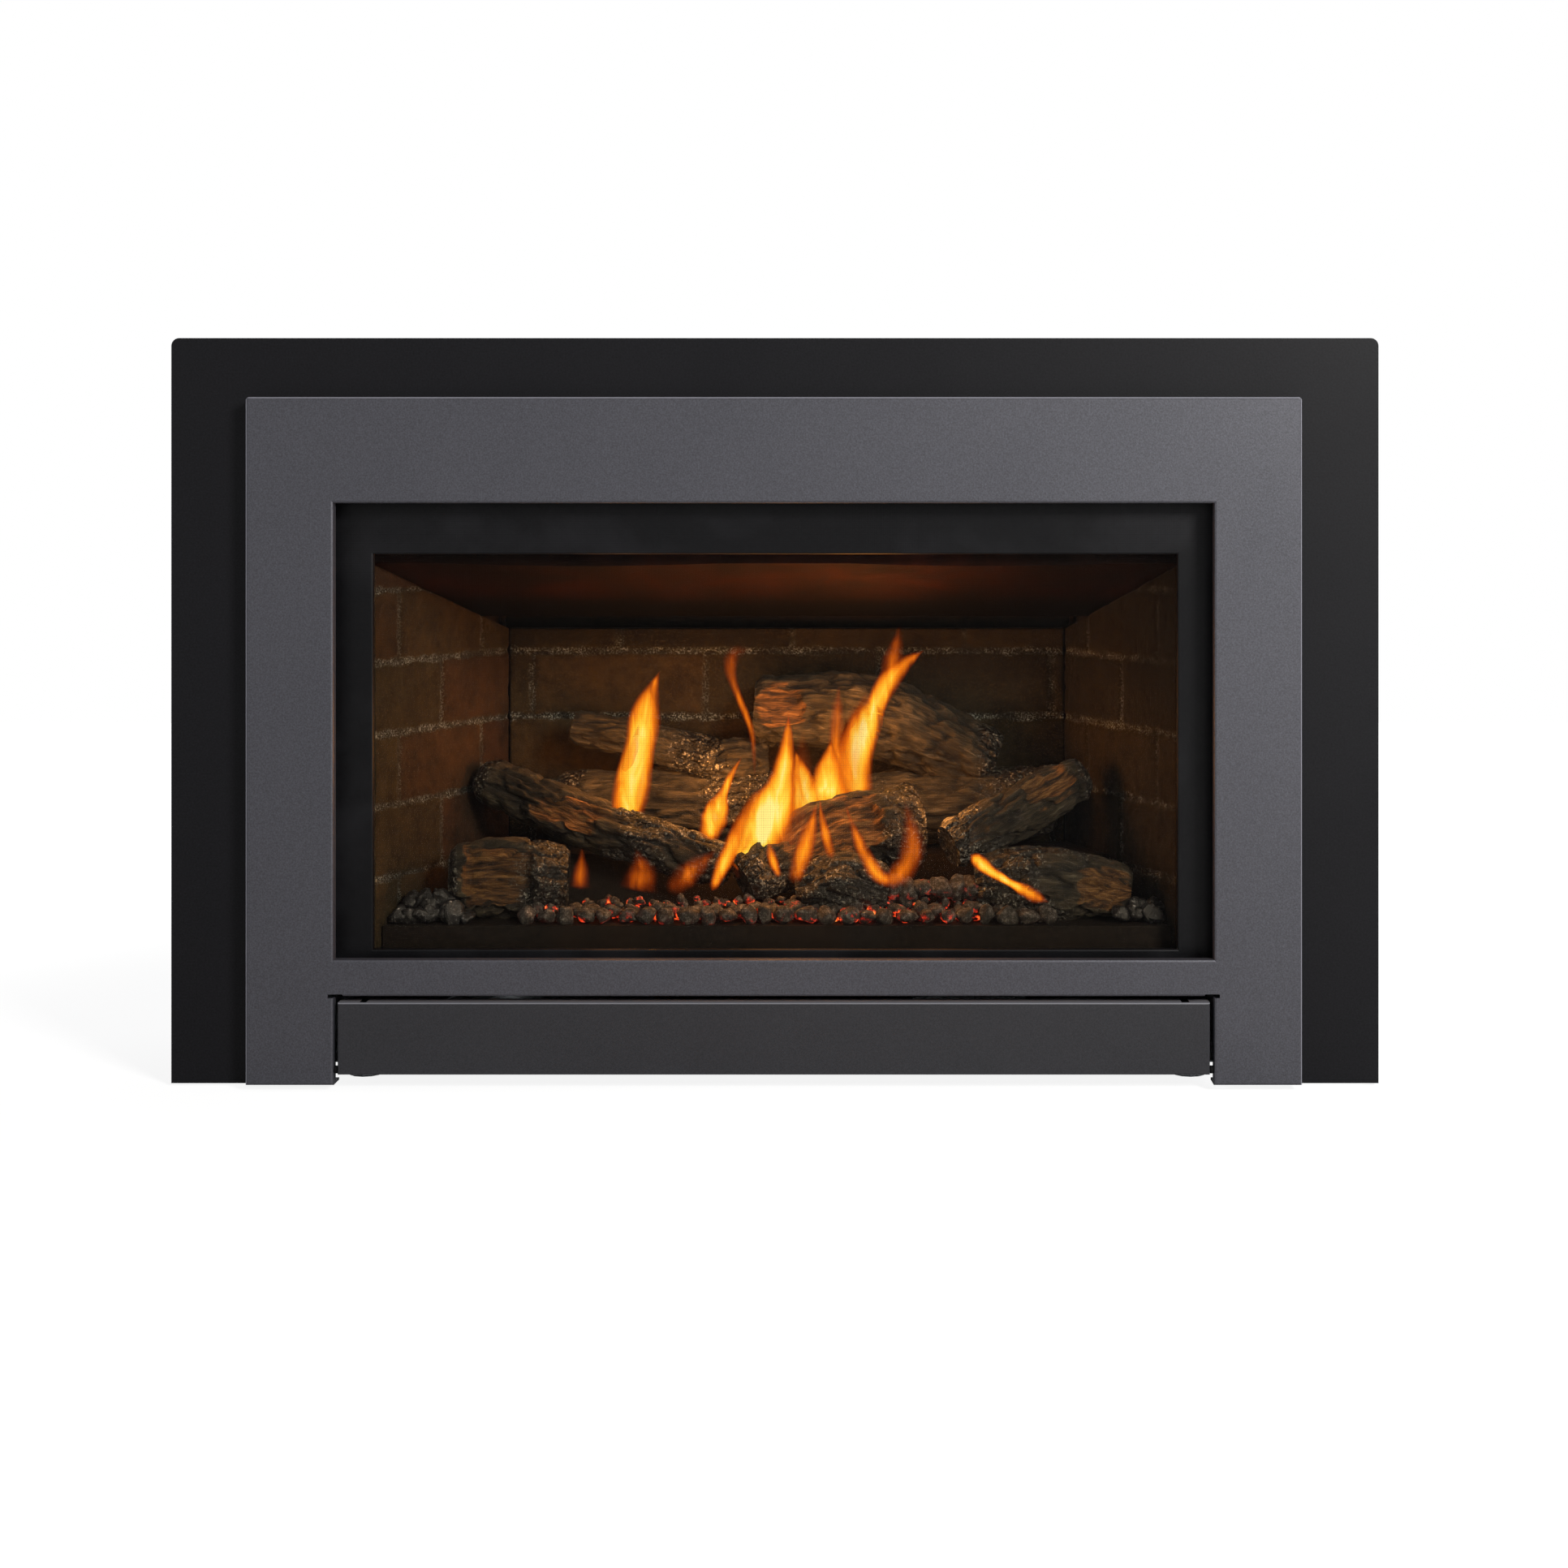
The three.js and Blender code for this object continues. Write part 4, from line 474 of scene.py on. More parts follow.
def log_material():
    """Cast ceramic fibre, painted as half-burnt firewood. Grey-brown furrowed bark, ochre fibrous wood where
    it is split, black char crazed into small blocks, and pale dabs on the char: ash, and painted glints of light.
    Painted shade darkens the furrows and the gaps between bark plates. Matt, but the char has a faint gloss."""
    made, add, shader, where = material("painted_ceramic_fibre_log")
    trunk = add("Attribute", attribute_name="trunk").outputs["Vector"]
    wood, char, crease = (add("Attribute", attribute_name=mark).outputs["Fac"]
                          for mark in ("wood", "char", "crease"))
    drawn = add("Mapping", {"Scale": (1.0, 1.0, 0.14)}, {"Vector": trunk})
    fine = add("TexNoise", {"Scale": per_mm(3.2), "Detail": 6.0, "Roughness": 0.65, "Distortion": 0.8},
               {"Vector": drawn})
    longer = add("Mapping", {"Scale": (1.0, 1.0, 0.24)}, {"Vector": trunk})
    strand = add("TexNoise", {"Scale": per_mm(9), "Detail": 4.0, "Roughness": 0.55, "Distortion": 1.4},
                 {"Vector": longer})
    folded = add("MapRange", links={"Value": strand}, span=(0.4, 0.6, -0.075, 0.075))
    fibre = add("Math", links={0: fine, 1: folded}, operation="ADD")
    bark = add("ValToRGB", links={"Fac": fibre}, stops=[
        (0.3, "0d0b08"), (0.45, "29241b"), (0.6, "3f382b"), (0.78, "655d4c")])
    split = add("ValToRGB", links={"Fac": fibre}, stops=[
        (0.32, "120a05"), (0.45, "432c17"), (0.58, "6a4a28"), (0.76, "9c7645")])
    skin = add("Mix", links={0: wood, 6: bark, 7: split})
    block = add("TexVoronoi", {"Scale": per_mm(7), "Randomness": 0.9}, {"Vector": where},
                feature="DISTANCE_TO_EDGE")
    crazed = add("ValToRGB", links={"Fac": block}, stops=[(0.02, "050404"), (0.16, "1b1613"), (0.45, "2c2621")])
    burnt = add("Mix", links={0: char, 6: skin, 7: crazed})
    # Pale dabs on the char: ash, and painted glints of light.
    spot = add("TexNoise", {"Scale": per_mm(3.2), "Detail": 3.0, "Roughness": 0.7}, {"Vector": where})
    dab = add("MapRange", links={"Value": spot}, span=(0.565, 0.63, 0, 0.8))
    only = add("Math", links={0: dab, 1: char}, operation="MULTIPLY")
    ash_and_painted_glints = add("Mix", {7: "a9a69c"}, {0: only, 6: burnt})
    # Painted shade in the furrows and between the bark plates.
    deep = add("Mix", {7: "0d0906"}, {0: crease, 6: ash_and_painted_glints})
    gloss = add("MapRange", links={"Value": char}, span=(0, 1, 0.85, 0.34))
    bump = add("Bump", {"Strength": 0.9, "Distance": 0.003}, {"Height": fibre})
    crack = add("MapRange", links={"Value": block}, span=(0, 0.2, 0, 1.0))
    cracked = add("Math", links={0: crack, 1: char}, operation="MULTIPLY")
    rough = add("Bump", {"Strength": 0.6, "Distance": 0.0015}, {"Height": cracked, "Normal": bump})
    fill(shader, {"Specular IOR Level": 0.45}, {"Base Color": deep, "Roughness": gloss, "Normal": rough})
    return made


log_paint = log_material()


def curve_through(stops, count):
    """count points of a smooth curve through the stops: Catmull-Rom pieces, with the ends' stops mirrored."""
    stops = np.asarray(stops, dtype=float)
    ends = np.vstack([2 * stops[0] - stops[1], stops, 2 * stops[-1] - stops[-2]])
    t = np.linspace(0, len(stops) - 1, count)
    k = np.minimum(t.astype(int), len(stops) - 2)
    f = (t - k)[:, None]
    a, b, c, d = (ends[k + i] for i in range(4))
    return 0.5 * (2 * b + (c - a) * f + (2 * a - 5 * b + 4 * c - d) * f ** 2 + (3 * b - a - 3 * c + d) * f ** 3)


def tube_frames(centre):
    """Unit vectors along a curve, to its side and out of its top, at each of its points."""
    way = np.gradient(centre, axis=0)
    way /= np.linalg.norm(way, axis=1, keepdims=True)
    side = np.cross(way, np.broadcast_to((0.0, 0.0, 1.0), way.shape))
    side /= np.linalg.norm(side, axis=1, keepdims=True)
    return way, side, np.cross(side, way)


CAP_RINGS = (0.82, 0.55, 0.28)    # rings of points in a log's end, as shares of its radius


def log_piece(node, stops, seed, splits=(), chars=(), furrow=4.6, rows=190, columns=120):
    """A log along a smooth curve through its stops (x, y, z, radius). The radius swells in slow lumps and is
    cut by furrows, drawn out along the log; plates of bark break across. A split (direction, share of the
    radius, from, to) lays the points beyond a plane onto it, with fibres showing. A char (place, reach) is a
    burnt stretch, both as shares of the length. The ends are broken faces that close on the axis."""
    path = curve_through(stops, rows)
    centre, radius = path[:, :3], path[:, 3]
    way, side, top = tube_frames(centre)
    share = np.linspace(0, 1, rows)[:, None]
    run = np.concatenate([[0], np.cumsum(np.linalg.norm(np.diff(centre, axis=0), axis=1))])[:, None]
    angle = np.linspace(0, 2 * np.pi, columns, endpoint=False)[None, :]
    straight = join(radius[:, None] * np.cos(angle), radius[:, None] * np.sin(angle), run)
    lumps = noise(straight, (34, 34, 70), seed, 3)
    ridge = 1 - np.abs(noise(straight, (13, 13, 40), seed + 1, 3))
    plates = noise(straight, (9, 9, 12), seed + 2, 3)
    hollow = smooth(0.66, 0.98, ridge)
    r = radius[:, None] * (1 + 0.09 * lumps) - furrow * hollow + 1.5 * plates
    fade = np.minimum(run, run[-1] - run)
    r = r * (1 - 0.14 * np.exp(-(fade / 4.0) ** 2))
    out_of = np.cos(angle)[..., None] * side[:, None] + np.sin(angle)[..., None] * top[:, None]
    point = centre[:, None] + r[..., None] * out_of
    wood = np.zeros((rows, columns))
    for facing, keep, start, stop in splits:
        facing = np.array(facing, float) / np.linalg.norm(facing)
        grain = noise(straight, (4.5, 4.5, 80), seed + 4, 3)
        step = noise(straight, (16, 16, 90), seed + 5, 2)
        level = keep * radius[:, None] + 1.6 * grain + 5.0 * (step - 0.35 * np.sin(6 * step))
        out = np.sum((point - centre[:, None]) * facing, axis=-1) - level
        torn = share + 0.07 * noise(straight, (12, 12, 30), seed + 8, 3)
        held = smooth(start - 0.02, start + 0.05, torn) * (1 - smooth(stop - 0.05, stop + 0.02, torn))
        cut = np.maximum(out, 0) * held
        point = point - cut[..., None] * facing
        wood = np.maximum(wood, smooth(0.2, 2.0, cut))
    char = np.zeros((rows, columns))
    for place, reach in chars:
        near = 1 - np.abs(share - place) / reach + 0.45 * noise(straight, 26, seed + 6, 3)
        char = np.maximum(char, smooth(0.1, 0.55, near))
    # Painted shade: darker in the furrows and between the bark plates, less on split wood.
    crease = 0.75 * hollow * (1 - 0.7 * wood) + 0.5 * smooth(0.2, 0.7, -plates) * (1 - wood)
    points, trunk = [point.reshape(-1, 3)], [straight.reshape(-1, 3)]
    for end, inward in ((0, 1), (rows - 1, -1)):
        ring = point[end]
        middle = ring.mean(axis=0)
        for scale in CAP_RINGS:
            broken = noise(ring * scale, 9, seed + 7, 2)[:, None]
            sunk = way[end] * inward * (1.2 + 2.0 * (1 - scale) + 1.3 * broken)
            points.append(middle + (ring - middle) * scale + sunk)
            trunk.append(straight[end] * (scale, scale, 1))
        points.append((middle + way[end] * inward * 2.5)[None])
        trunk.append([(0, 0, run[end, 0])])
    body, cap = rows * columns, len(CAP_RINGS) * columns + 1
    faces = [sheet_faces(rows, columns, around=True)[:, ::-1]]
    for end in (0, 1):
        loops = [np.arange(columns) + end * (rows - 1) * columns]
        loops += [body + end * cap + k * columns + np.arange(columns) for k in range(len(CAP_RINGS))]
        blocks = [join(outer, inner, np.roll(inner, -1), np.roll(outer, -1))
                  for outer, inner in zip(loops, loops[1:])]
        blocks.append(join(loops[-1], body + (end + 1) * cap - 1, np.roll(loops[-1], -1)))
        faces += [block[:, ::-1] if end else block for block in blocks]
    piece = mesh_piece(
        f"{node}_bark", np.concatenate(points), faces, log_paint, trunk=np.concatenate(trunk) / 1000,
        wood=np.append(wood, np.full(2 * cap, 0.9)), crease=np.append(crease, np.full(2 * cap, 0.1)),
        char=np.concatenate([char.ravel(), np.full(cap, char[0].mean()), np.full(cap, char[-1].mean())]))
    if node in frame["nodes"]:
        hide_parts(node)


FRONT = (0, -1, 0.2)              # the way a split face looks
log_piece("log_rear_base", [(-218, 190, 221, 33), (-110, 196, 223, 38), (20, 198, 220, 35), (150, 196, 222, 38),
                            (262, 184, 230, 33)], 11, chars=[(0.0, 0.1), (0.45, 0.18), (0.95, 0.16)])
log_piece("log_rear_stub", [(-84, 190, 260, 20), (-52, 194, 266, 23), (-16, 196, 268, 19)], 12,
          chars=[(0.0, 0.5)], rows=80, columns=90)
log_piece("log_front_left", [(-300, 60, 170, 31), (-250, 62, 171, 36), (-194, 66, 168, 30)], 13,
          splits=[(FRONT, 0.62, 0.14, 0.72)], chars=[(0.0, 0.12), (0.95, 0.34)], rows=120)
log_piece("log_front_right", [(180, 60, 163, 26), (245, 60, 168, 36), (322, 54, 159, 23)], 14,
          splits=[(FRONT, 0.7, 0.72, 1.1)], chars=[(0.3, 0.4)], rows=130)
log_piece("log_front_centre", [(16, 62, 160, 23), (58, 62, 165, 29), (100, 62, 159, 22)], 15,
          chars=[(0.2, 0.5), (0.9, 0.3)], rows=90)
log_piece("log_centre", [(-34, 70, 168, 25), (40, 100, 204, 33), (128, 122, 212, 43)], 16,
          splits=[((0.1, -1, 0.5), 0.66, 0.25, 0.75)], chars=[(0.0, 0.25), (0.96, 0.26)], rows=170)
log_piece("log_cross_left", [(-288, 168, 252, 22), (-180, 118, 215, 26), (-48, 78, 180, 21)], 17,
          splits=[((0.1, -1, 0.15), 0.55, 0.3, 0.56)], chars=[(0.0, 0.08), (0.72, 0.16), (1.0, 0.16)])
log_piece("log_rear_left", [(-205, 188, 301, 17), (-140, 186, 287, 19), (-66, 184, 268, 23)], 18,
          chars=[(1.0, 0.35)], furrow=2.4, rows=120)
log_piece("log_rear_top", [(-30, 198, 317, 35), (80, 200, 310, 39), (204, 196, 264, 29)], 19,
          splits=[((-0.3, -1, 0.3), 0.72, 0.0, 0.24)], chars=[(0.98, 0.1)])
log_piece("log_cross_right", [(156, 74, 199, 23), (220, 104, 228, 26), (284, 130, 258, 21)], 20,
          splits=[((0.2, -1, 0.7), 0.62, 0.6, 0.9)], chars=[(0.0, 0.42), (1.0, 0.1)], rows=150)

# ---------------- embers and lava rock

def ember_material():
    """Rounded ceramic stones, grey with ash on top. Where heat gets between them they glow red to orange."""
    made, add, shader, where = material("ash_covered_ember_stone")
    warmth = add("Attribute", attribute_name="warmth").outputs["Fac"]
    ash = add("TexNoise", {"Scale": per_mm(5), "Detail": 5.0, "Roughness": 0.7}, {"Vector": where})
    grey = add("ValToRGB", links={"Fac": ash}, stops=[
        (0.34, "12100f"), (0.5, "322e2b"), (0.62, "625c57"), (0.76, "aaa49e")])
    vein = add("TexNoise", {"Scale": per_mm(8), "Detail": 3.0, "Roughness": 0.6}, {"Vector": where})
    open_vein = add("MapRange", links={"Value": vein}, span=(0.5, 0.66))
    glow = add("Math", links={0: open_vein, 1: warmth}, operation="MULTIPLY")
    fire = add("ValToRGB", links={"Fac": glow}, stops=[
        (0.0, "000000"), (0.14, "1c0302"), (0.34, "8a180c"), (0.55, "e63c18"), (0.8, "ff6c2c"), (1.0, "ff9c4c")])
    bump = add("Bump", {"Strength": 0.6, "Distance": 0.001}, {"Height": ash})
    fill(shader, {"Roughness": 0.85, "Emission Strength": 1.6},
         {"Base Color": grey, "Emission Color": fire, "Normal": bump})
    return made


def lava_material():
    """Broken volcanic glass: almost black, with small bright specks painted into its colour as glints of light."""
    made, add, shader, where = material("broken_black_lava")
    grit = add("TexNoise", {"Scale": per_mm(3.5), "Detail": 5.0, "Roughness": 0.7}, {"Vector": where})
    # The palest stops are painted glints.
    tone = add("ValToRGB", links={"Fac": grit}, stops=[
        (0.35, "0b0b0c"), (0.56, "232325"), (0.66, "6c6c6f"), (0.74, "d4d4d6")])
    shine = add("MapRange", links={"Value": grit}, span=(0.3, 0.7, 0.28, 0.6))
    bump = add("Bump", {"Strength": 0.8, "Distance": 0.0012}, {"Height": grit})
    fill(shader, links={"Base Color": tone, "Roughness": shine, "Normal": bump})
    return made


def ball_grid(rows, columns):
    """Points of a unit ball, ring by ring between two poles, and its faces."""
    up = np.linspace(-0.5 * np.pi, 0.5 * np.pi, rows + 2)[1:-1, None]
    turned = np.linspace(0, 2 * np.pi, columns, endpoint=False)[None, :]
    rings = join(np.cos(up) * np.cos(turned), np.cos(up) * np.sin(turned), np.sin(up))
    return np.concatenate([rings.reshape(-1, 3), [[0, 0, -1], [0, 0, 1]]]), closed_faces(rows, columns)


CHOPS = 7                         # planes that chop a stone


def stones(name, node, places, halves, seed, finish, heat, chop=0.74, knobs=0.22, rows=11, columns=16):
    """Many stones in one piece: each is a ball with its corners chopped by planes that lie chop of the way
    out, then roughened by noise, scaled to its halves and turned about the upright. heat is kept for each
    point, stronger below and on the side that faces the burner."""
    places, halves = np.asarray(places, float), np.asarray(halves, float)
    count = len(places)
    ball, faces = ball_grid(rows, columns)
    draw = np.random.default_rng(seed)
    planes = draw.normal(size=(count, CHOPS, 3))
    planes /= np.linalg.norm(planes, axis=-1, keepdims=True)
    points = np.repeat(ball[None], count, axis=0)
    for k in range(CHOPS):
        out = np.maximum(np.einsum("npc,nc->np", points, planes[:, k]) - chop, 0)
        points = points - out[..., None] * planes[:, k][:, None]
    shifted = points + draw.uniform(0, 90, size=(count, 1, 3))
    points = points * (1.12 + knobs * noise(shifted, 0.9, seed, 3))[..., None] * halves[:, None]
    turn = draw.uniform(0, 2 * np.pi, count)[:, None]
    x = points[..., 0] * np.cos(turn) - points[..., 1] * np.sin(turn)
    y = points[..., 0] * np.sin(turn) + points[..., 1] * np.cos(turn)
    made = join(x, y, points[..., 2]) + places[:, None]
    shown = 0.62 - 0.5 * points[..., 2] / halves[:, None, 2] + 0.25 * np.sin(turn)
    warm = np.asarray(heat, float)[:, None] * shown
    step = (np.arange(count) * len(ball))[:, None, None]
    piece = mesh_piece(name, made.reshape(-1, 3), [(block + step).reshape(-1, block.shape[1]) for block in faces],
                       finish, warmth=np.clip(warm, 0, 1).ravel())
    if node:
        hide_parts(node)


ember_stone, lava_stone = ember_material(), lava_material()
spread = np.random.default_rng(41)


def row_of(count, left, right, y, z, play):
    """count places in a line from left to right, each moved a little."""
    places = join(np.linspace(left, right, count), y, z)
    return places + spread.uniform(-1, 1, size=(count, 3)) * play


front_row = row_of(27, -228, 242, 25, PAN_DECK + 7.5, (3, 1.5, 1))
rear_row = row_of(26, -222, 236, 38, PAN_DECK + 8.5, (4, 2, 1.5))
front_heat = np.where(front_row[:, 0] > 195, 0.05, 0.85) * spread.uniform(0.0, 1.0, len(front_row)) ** 1.5
rear_heat = np.where(rear_row[:, 0] > 200, 0.1, 1.6) * spread.uniform(0.2, 1.2, len(rear_row))
bed = np.concatenate([front_row, rear_row])
halves = join(*(spread.uniform(low, high, len(bed)) for low, high in ((6, 11.5), (6.5, 9), (5.5, 9))))
stones("ember_stones", "ember_bed", bed, halves, 42, ember_stone, np.concatenate([front_heat, rear_heat]))
flakes = np.concatenate([row_of(46, -222, 180, 50, PAN_DECK + 11, (4, 5, 5)),
                         row_of(40, -180, 190, 56, PAN_DECK + 15, (5, 5, 4))])
stones("ember_flakes", None, flakes, spread.uniform(3.0, 5.5, size=flakes.shape), 43, ember_stone,
       spread.uniform(0.3, 2.2, len(flakes)), rows=7, columns=10)
block_row = row_of(6, 106, 176, 54, PAN_DECK + 27, (3, 2, 2))
stones("ember_block", None, block_row, spread.uniform(9, 13, size=block_row.shape), 46, ember_stone,
       spread.uniform(0.3, 0.8, len(block_row)))
left_rocks = np.concatenate([row_of(7, -341, -282, 26, PAN_DECK + 8, (3, 2, 2)),
                             row_of(6, -334, -290, 40, PAN_DECK + 13, (4, 3, 4)),
                             row_of(4, -322, -298, 33, PAN_DECK + 19, (4, 3, 2))])
right_rocks = np.concatenate([row_of(4, 312, 343, 26, PAN_DECK + 8, (3, 2, 2)),
                              row_of(4, 322, 342, 38, PAN_DECK + 13, (3, 3, 3))])
for node, rocks, widest, seed in [("lava_rocks_left", left_rocks, 10.5, 44),
                                  ("lava_rocks_right", right_rocks, 10, 45)]:
    stones(f"{node}_broken", node, rocks, spread.uniform(7, widest, size=rocks.shape), seed, lava_stone,
           np.zeros(len(rocks)), chop=0.6, knobs=0.3)

# ---------------- barrier screen

def screen_weave():
    """Woven steel wire: straight square bars, the upright ones in front. At 1.6 mm from wire to wire it is
    drawn coarser than the real weave, so that it shows."""
    pitch, half, front = 1.6, 0.055, SCREEN_FRONT + 0.9
    upright = np.arange(-WINDOW_HALF + 1, WINDOW_HALF - 1, pitch)
    level = np.arange(WINDOW_BOTTOM - 1, WINDOW_TOP + 1, pitch)
    corner = np.array([[-1, -1], [1, -1], [1, 1], [-1, 1]]) * half
    ends = np.repeat([0.0, 1.0], 4)
    around = np.tile(corner, (2, 1))
    up = join(upright[:, None] + around[:, 0], front + around[:, 1],
              WINDOW_BOTTOM - 1 + ends * (WINDOW_TOP - WINDOW_BOTTOM + 2))
    across = join(-WINDOW_HALF + 0.7 + ends * (2 * WINDOW_HALF - 1.4), front + 2 * half + around[:, 1],
                  level[:, None] + around[:, 0])
    bar = np.array([[0, 1, 5, 4], [1, 2, 6, 5], [2, 3, 7, 6], [3, 0, 4, 7], [3, 2, 1, 0], [4, 5, 6, 7]])
    turned = bar[:, ::-1]
    ups = (bar + 8 * np.arange(len(upright))[:, None, None]).reshape(-1, 4)
    acrosses = (turned + 8 * (len(upright) + np.arange(len(level)))[:, None, None]).reshape(-1, 4)
    piece = mesh_piece("barrier_screen_weave", np.concatenate([up.reshape(-1, 3), across.reshape(-1, 3)]),
                       [ups, acrosses], black_steel, "overlay", flat=True)
    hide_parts("barrier_screen_mesh")


screen_weave()

# ---------------- flames

CAMERA_X, CAMERA_AWAY, CAMERA_Z, FOCAL = 97.0, 2140.0, 490.0, 2955.0
AXIS_X, AXIS_Y = 1090.0, 655.0    # where the lens axis meets the picture


def from_picture(x, y, depth):
    """The point at depth behind the facing that the camera sees at x, y of the picture, and mm per pixel."""
    scale = (CAMERA_AWAY + depth) / FOCAL
    return CAMERA_X + (x - AXIS_X) * scale, CAMERA_Z - (y - AXIS_Y) * scale, scale


def flame_material():
    """Burning gas: no surface at all, only light. Pale yellow in the thick core, orange towards the edges
    and tips, and clear at its border and foot."""
    made, add, shader, where = material("burning_gas")
    rise, core, power = (add("Attribute", attribute_name=mark).outputs["Fac"]
                         for mark in ("rise", "core", "power"))
    drawn = add("Mapping", {"Scale": (1.0, 1.0, 0.18)}, {"Vector": where})
    lick = add("TexNoise", {"Scale": per_mm(11), "Detail": 3.0, "Distortion": 0.8}, {"Vector": drawn})
    streak = add("MapRange", links={"Value": lick}, span=(0.3, 0.7, 0.55, 1.15))
    body = add("ValToRGB", links={"Fac": rise}, stops=[
        (0.0, 0.25), (0.12, 0.75), (0.35, 1.0), (0.65, 0.75), (0.88, 0.42), (1.0, 0.12)])
    body.color_ramp.interpolation = "EASE"
    thick = add("Math", links={0: core, 1: body}, operation="MULTIPLY")
    licked = add("Math", links={0: thick, 1: streak}, operation="MULTIPLY")
    strong = add("Math", links={0: licked, 1: power}, operation="MULTIPLY")
    light = add("ValToRGB", links={"Fac": strong}, stops=[
        (0.0, "5a1a04"), (0.2, "b0440a"), (0.4, "ee7c14"), (0.6, "ffae28"), (0.8, "ffd24c"), (1.0, "ffe88e")])
    cover = add("MapRange", links={"Value": strong}, span=(0.0, 0.7, 0, 0.93), interpolation_type="SMOOTHSTEP")
    fill(shader, {"Base Color": "000000", "Specular IOR Level": 0.0, "Roughness": 1.0, "Emission Strength": 1.7},
         {"Emission Color": light, "Alpha": cover})
    return made


burning_gas = flame_material()
FLAME_WIDE, FLAME_DEEP = 1.2, 0.33    # drawn wider than its bright part, and a third as deep as wide


def flame(name, depth, power, stops, rows=72, columns=20):
    """A tongue of flame at depth: a lens-shaped section, as wide as the picture shows and a third as deep,
    carried along a smooth curve through stops (picture x, y, half width in pixels). It leans back and forth
    by slow noise and closes in a point at both ends."""
    path = curve_through([(*s, 0.0) for s in stops], rows)
    x, z, scale = from_picture(path[:, 0], path[:, 1], depth)
    line = join(x, depth, z)
    half = np.maximum(path[:, 2], 0.3) * scale
    share = np.linspace(0, 1, rows)
    half = half * np.minimum(1, np.sqrt(np.maximum(share, 0.0) / 0.04 + 0.02))
    way = np.gradient(line, axis=0)
    way /= np.linalg.norm(way, axis=1, keepdims=True)
    side = join(way[:, 2], 0, -way[:, 0])
    angle = np.linspace(0, 2 * np.pi, columns, endpoint=False)
    rough = noise(join(0, share * 60, depth), 9, 51, 2)
    half = FLAME_WIDE * half * (1 + 0.10 * rough)
    across = np.cos(angle)[None, :] * half[:, None]
    deep = np.sin(angle)[None, :] * half[:, None] * FLAME_DEEP
    lean = 5 * noise(join(share * 70, 0, stops[0][0]), 30, 52, 2)
    points = line[:, None] + across[..., None] * side[:, None]
    points[..., 1] += deep + lean[:, None]
    ends = [points[0].mean(axis=0, keepdims=True), points[-1].mean(axis=0, keepdims=True)]
    core = np.repeat(np.clip(1 - np.abs(np.cos(angle)) ** 1.4, 0, 1)[None], rows, 0)
    piece = mesh_piece(
        name, np.concatenate([points.reshape(-1, 3)] + ends), closed_faces(rows, columns), burning_gas,
        rise=np.concatenate([np.repeat(share, columns), [0, 1]]),
        core=np.concatenate([core.ravel(), [0.5, 0.5]]), power=np.full(rows * columns + 2, power))
    piece.visible_shadow = False
    piece.visible_diffuse = False


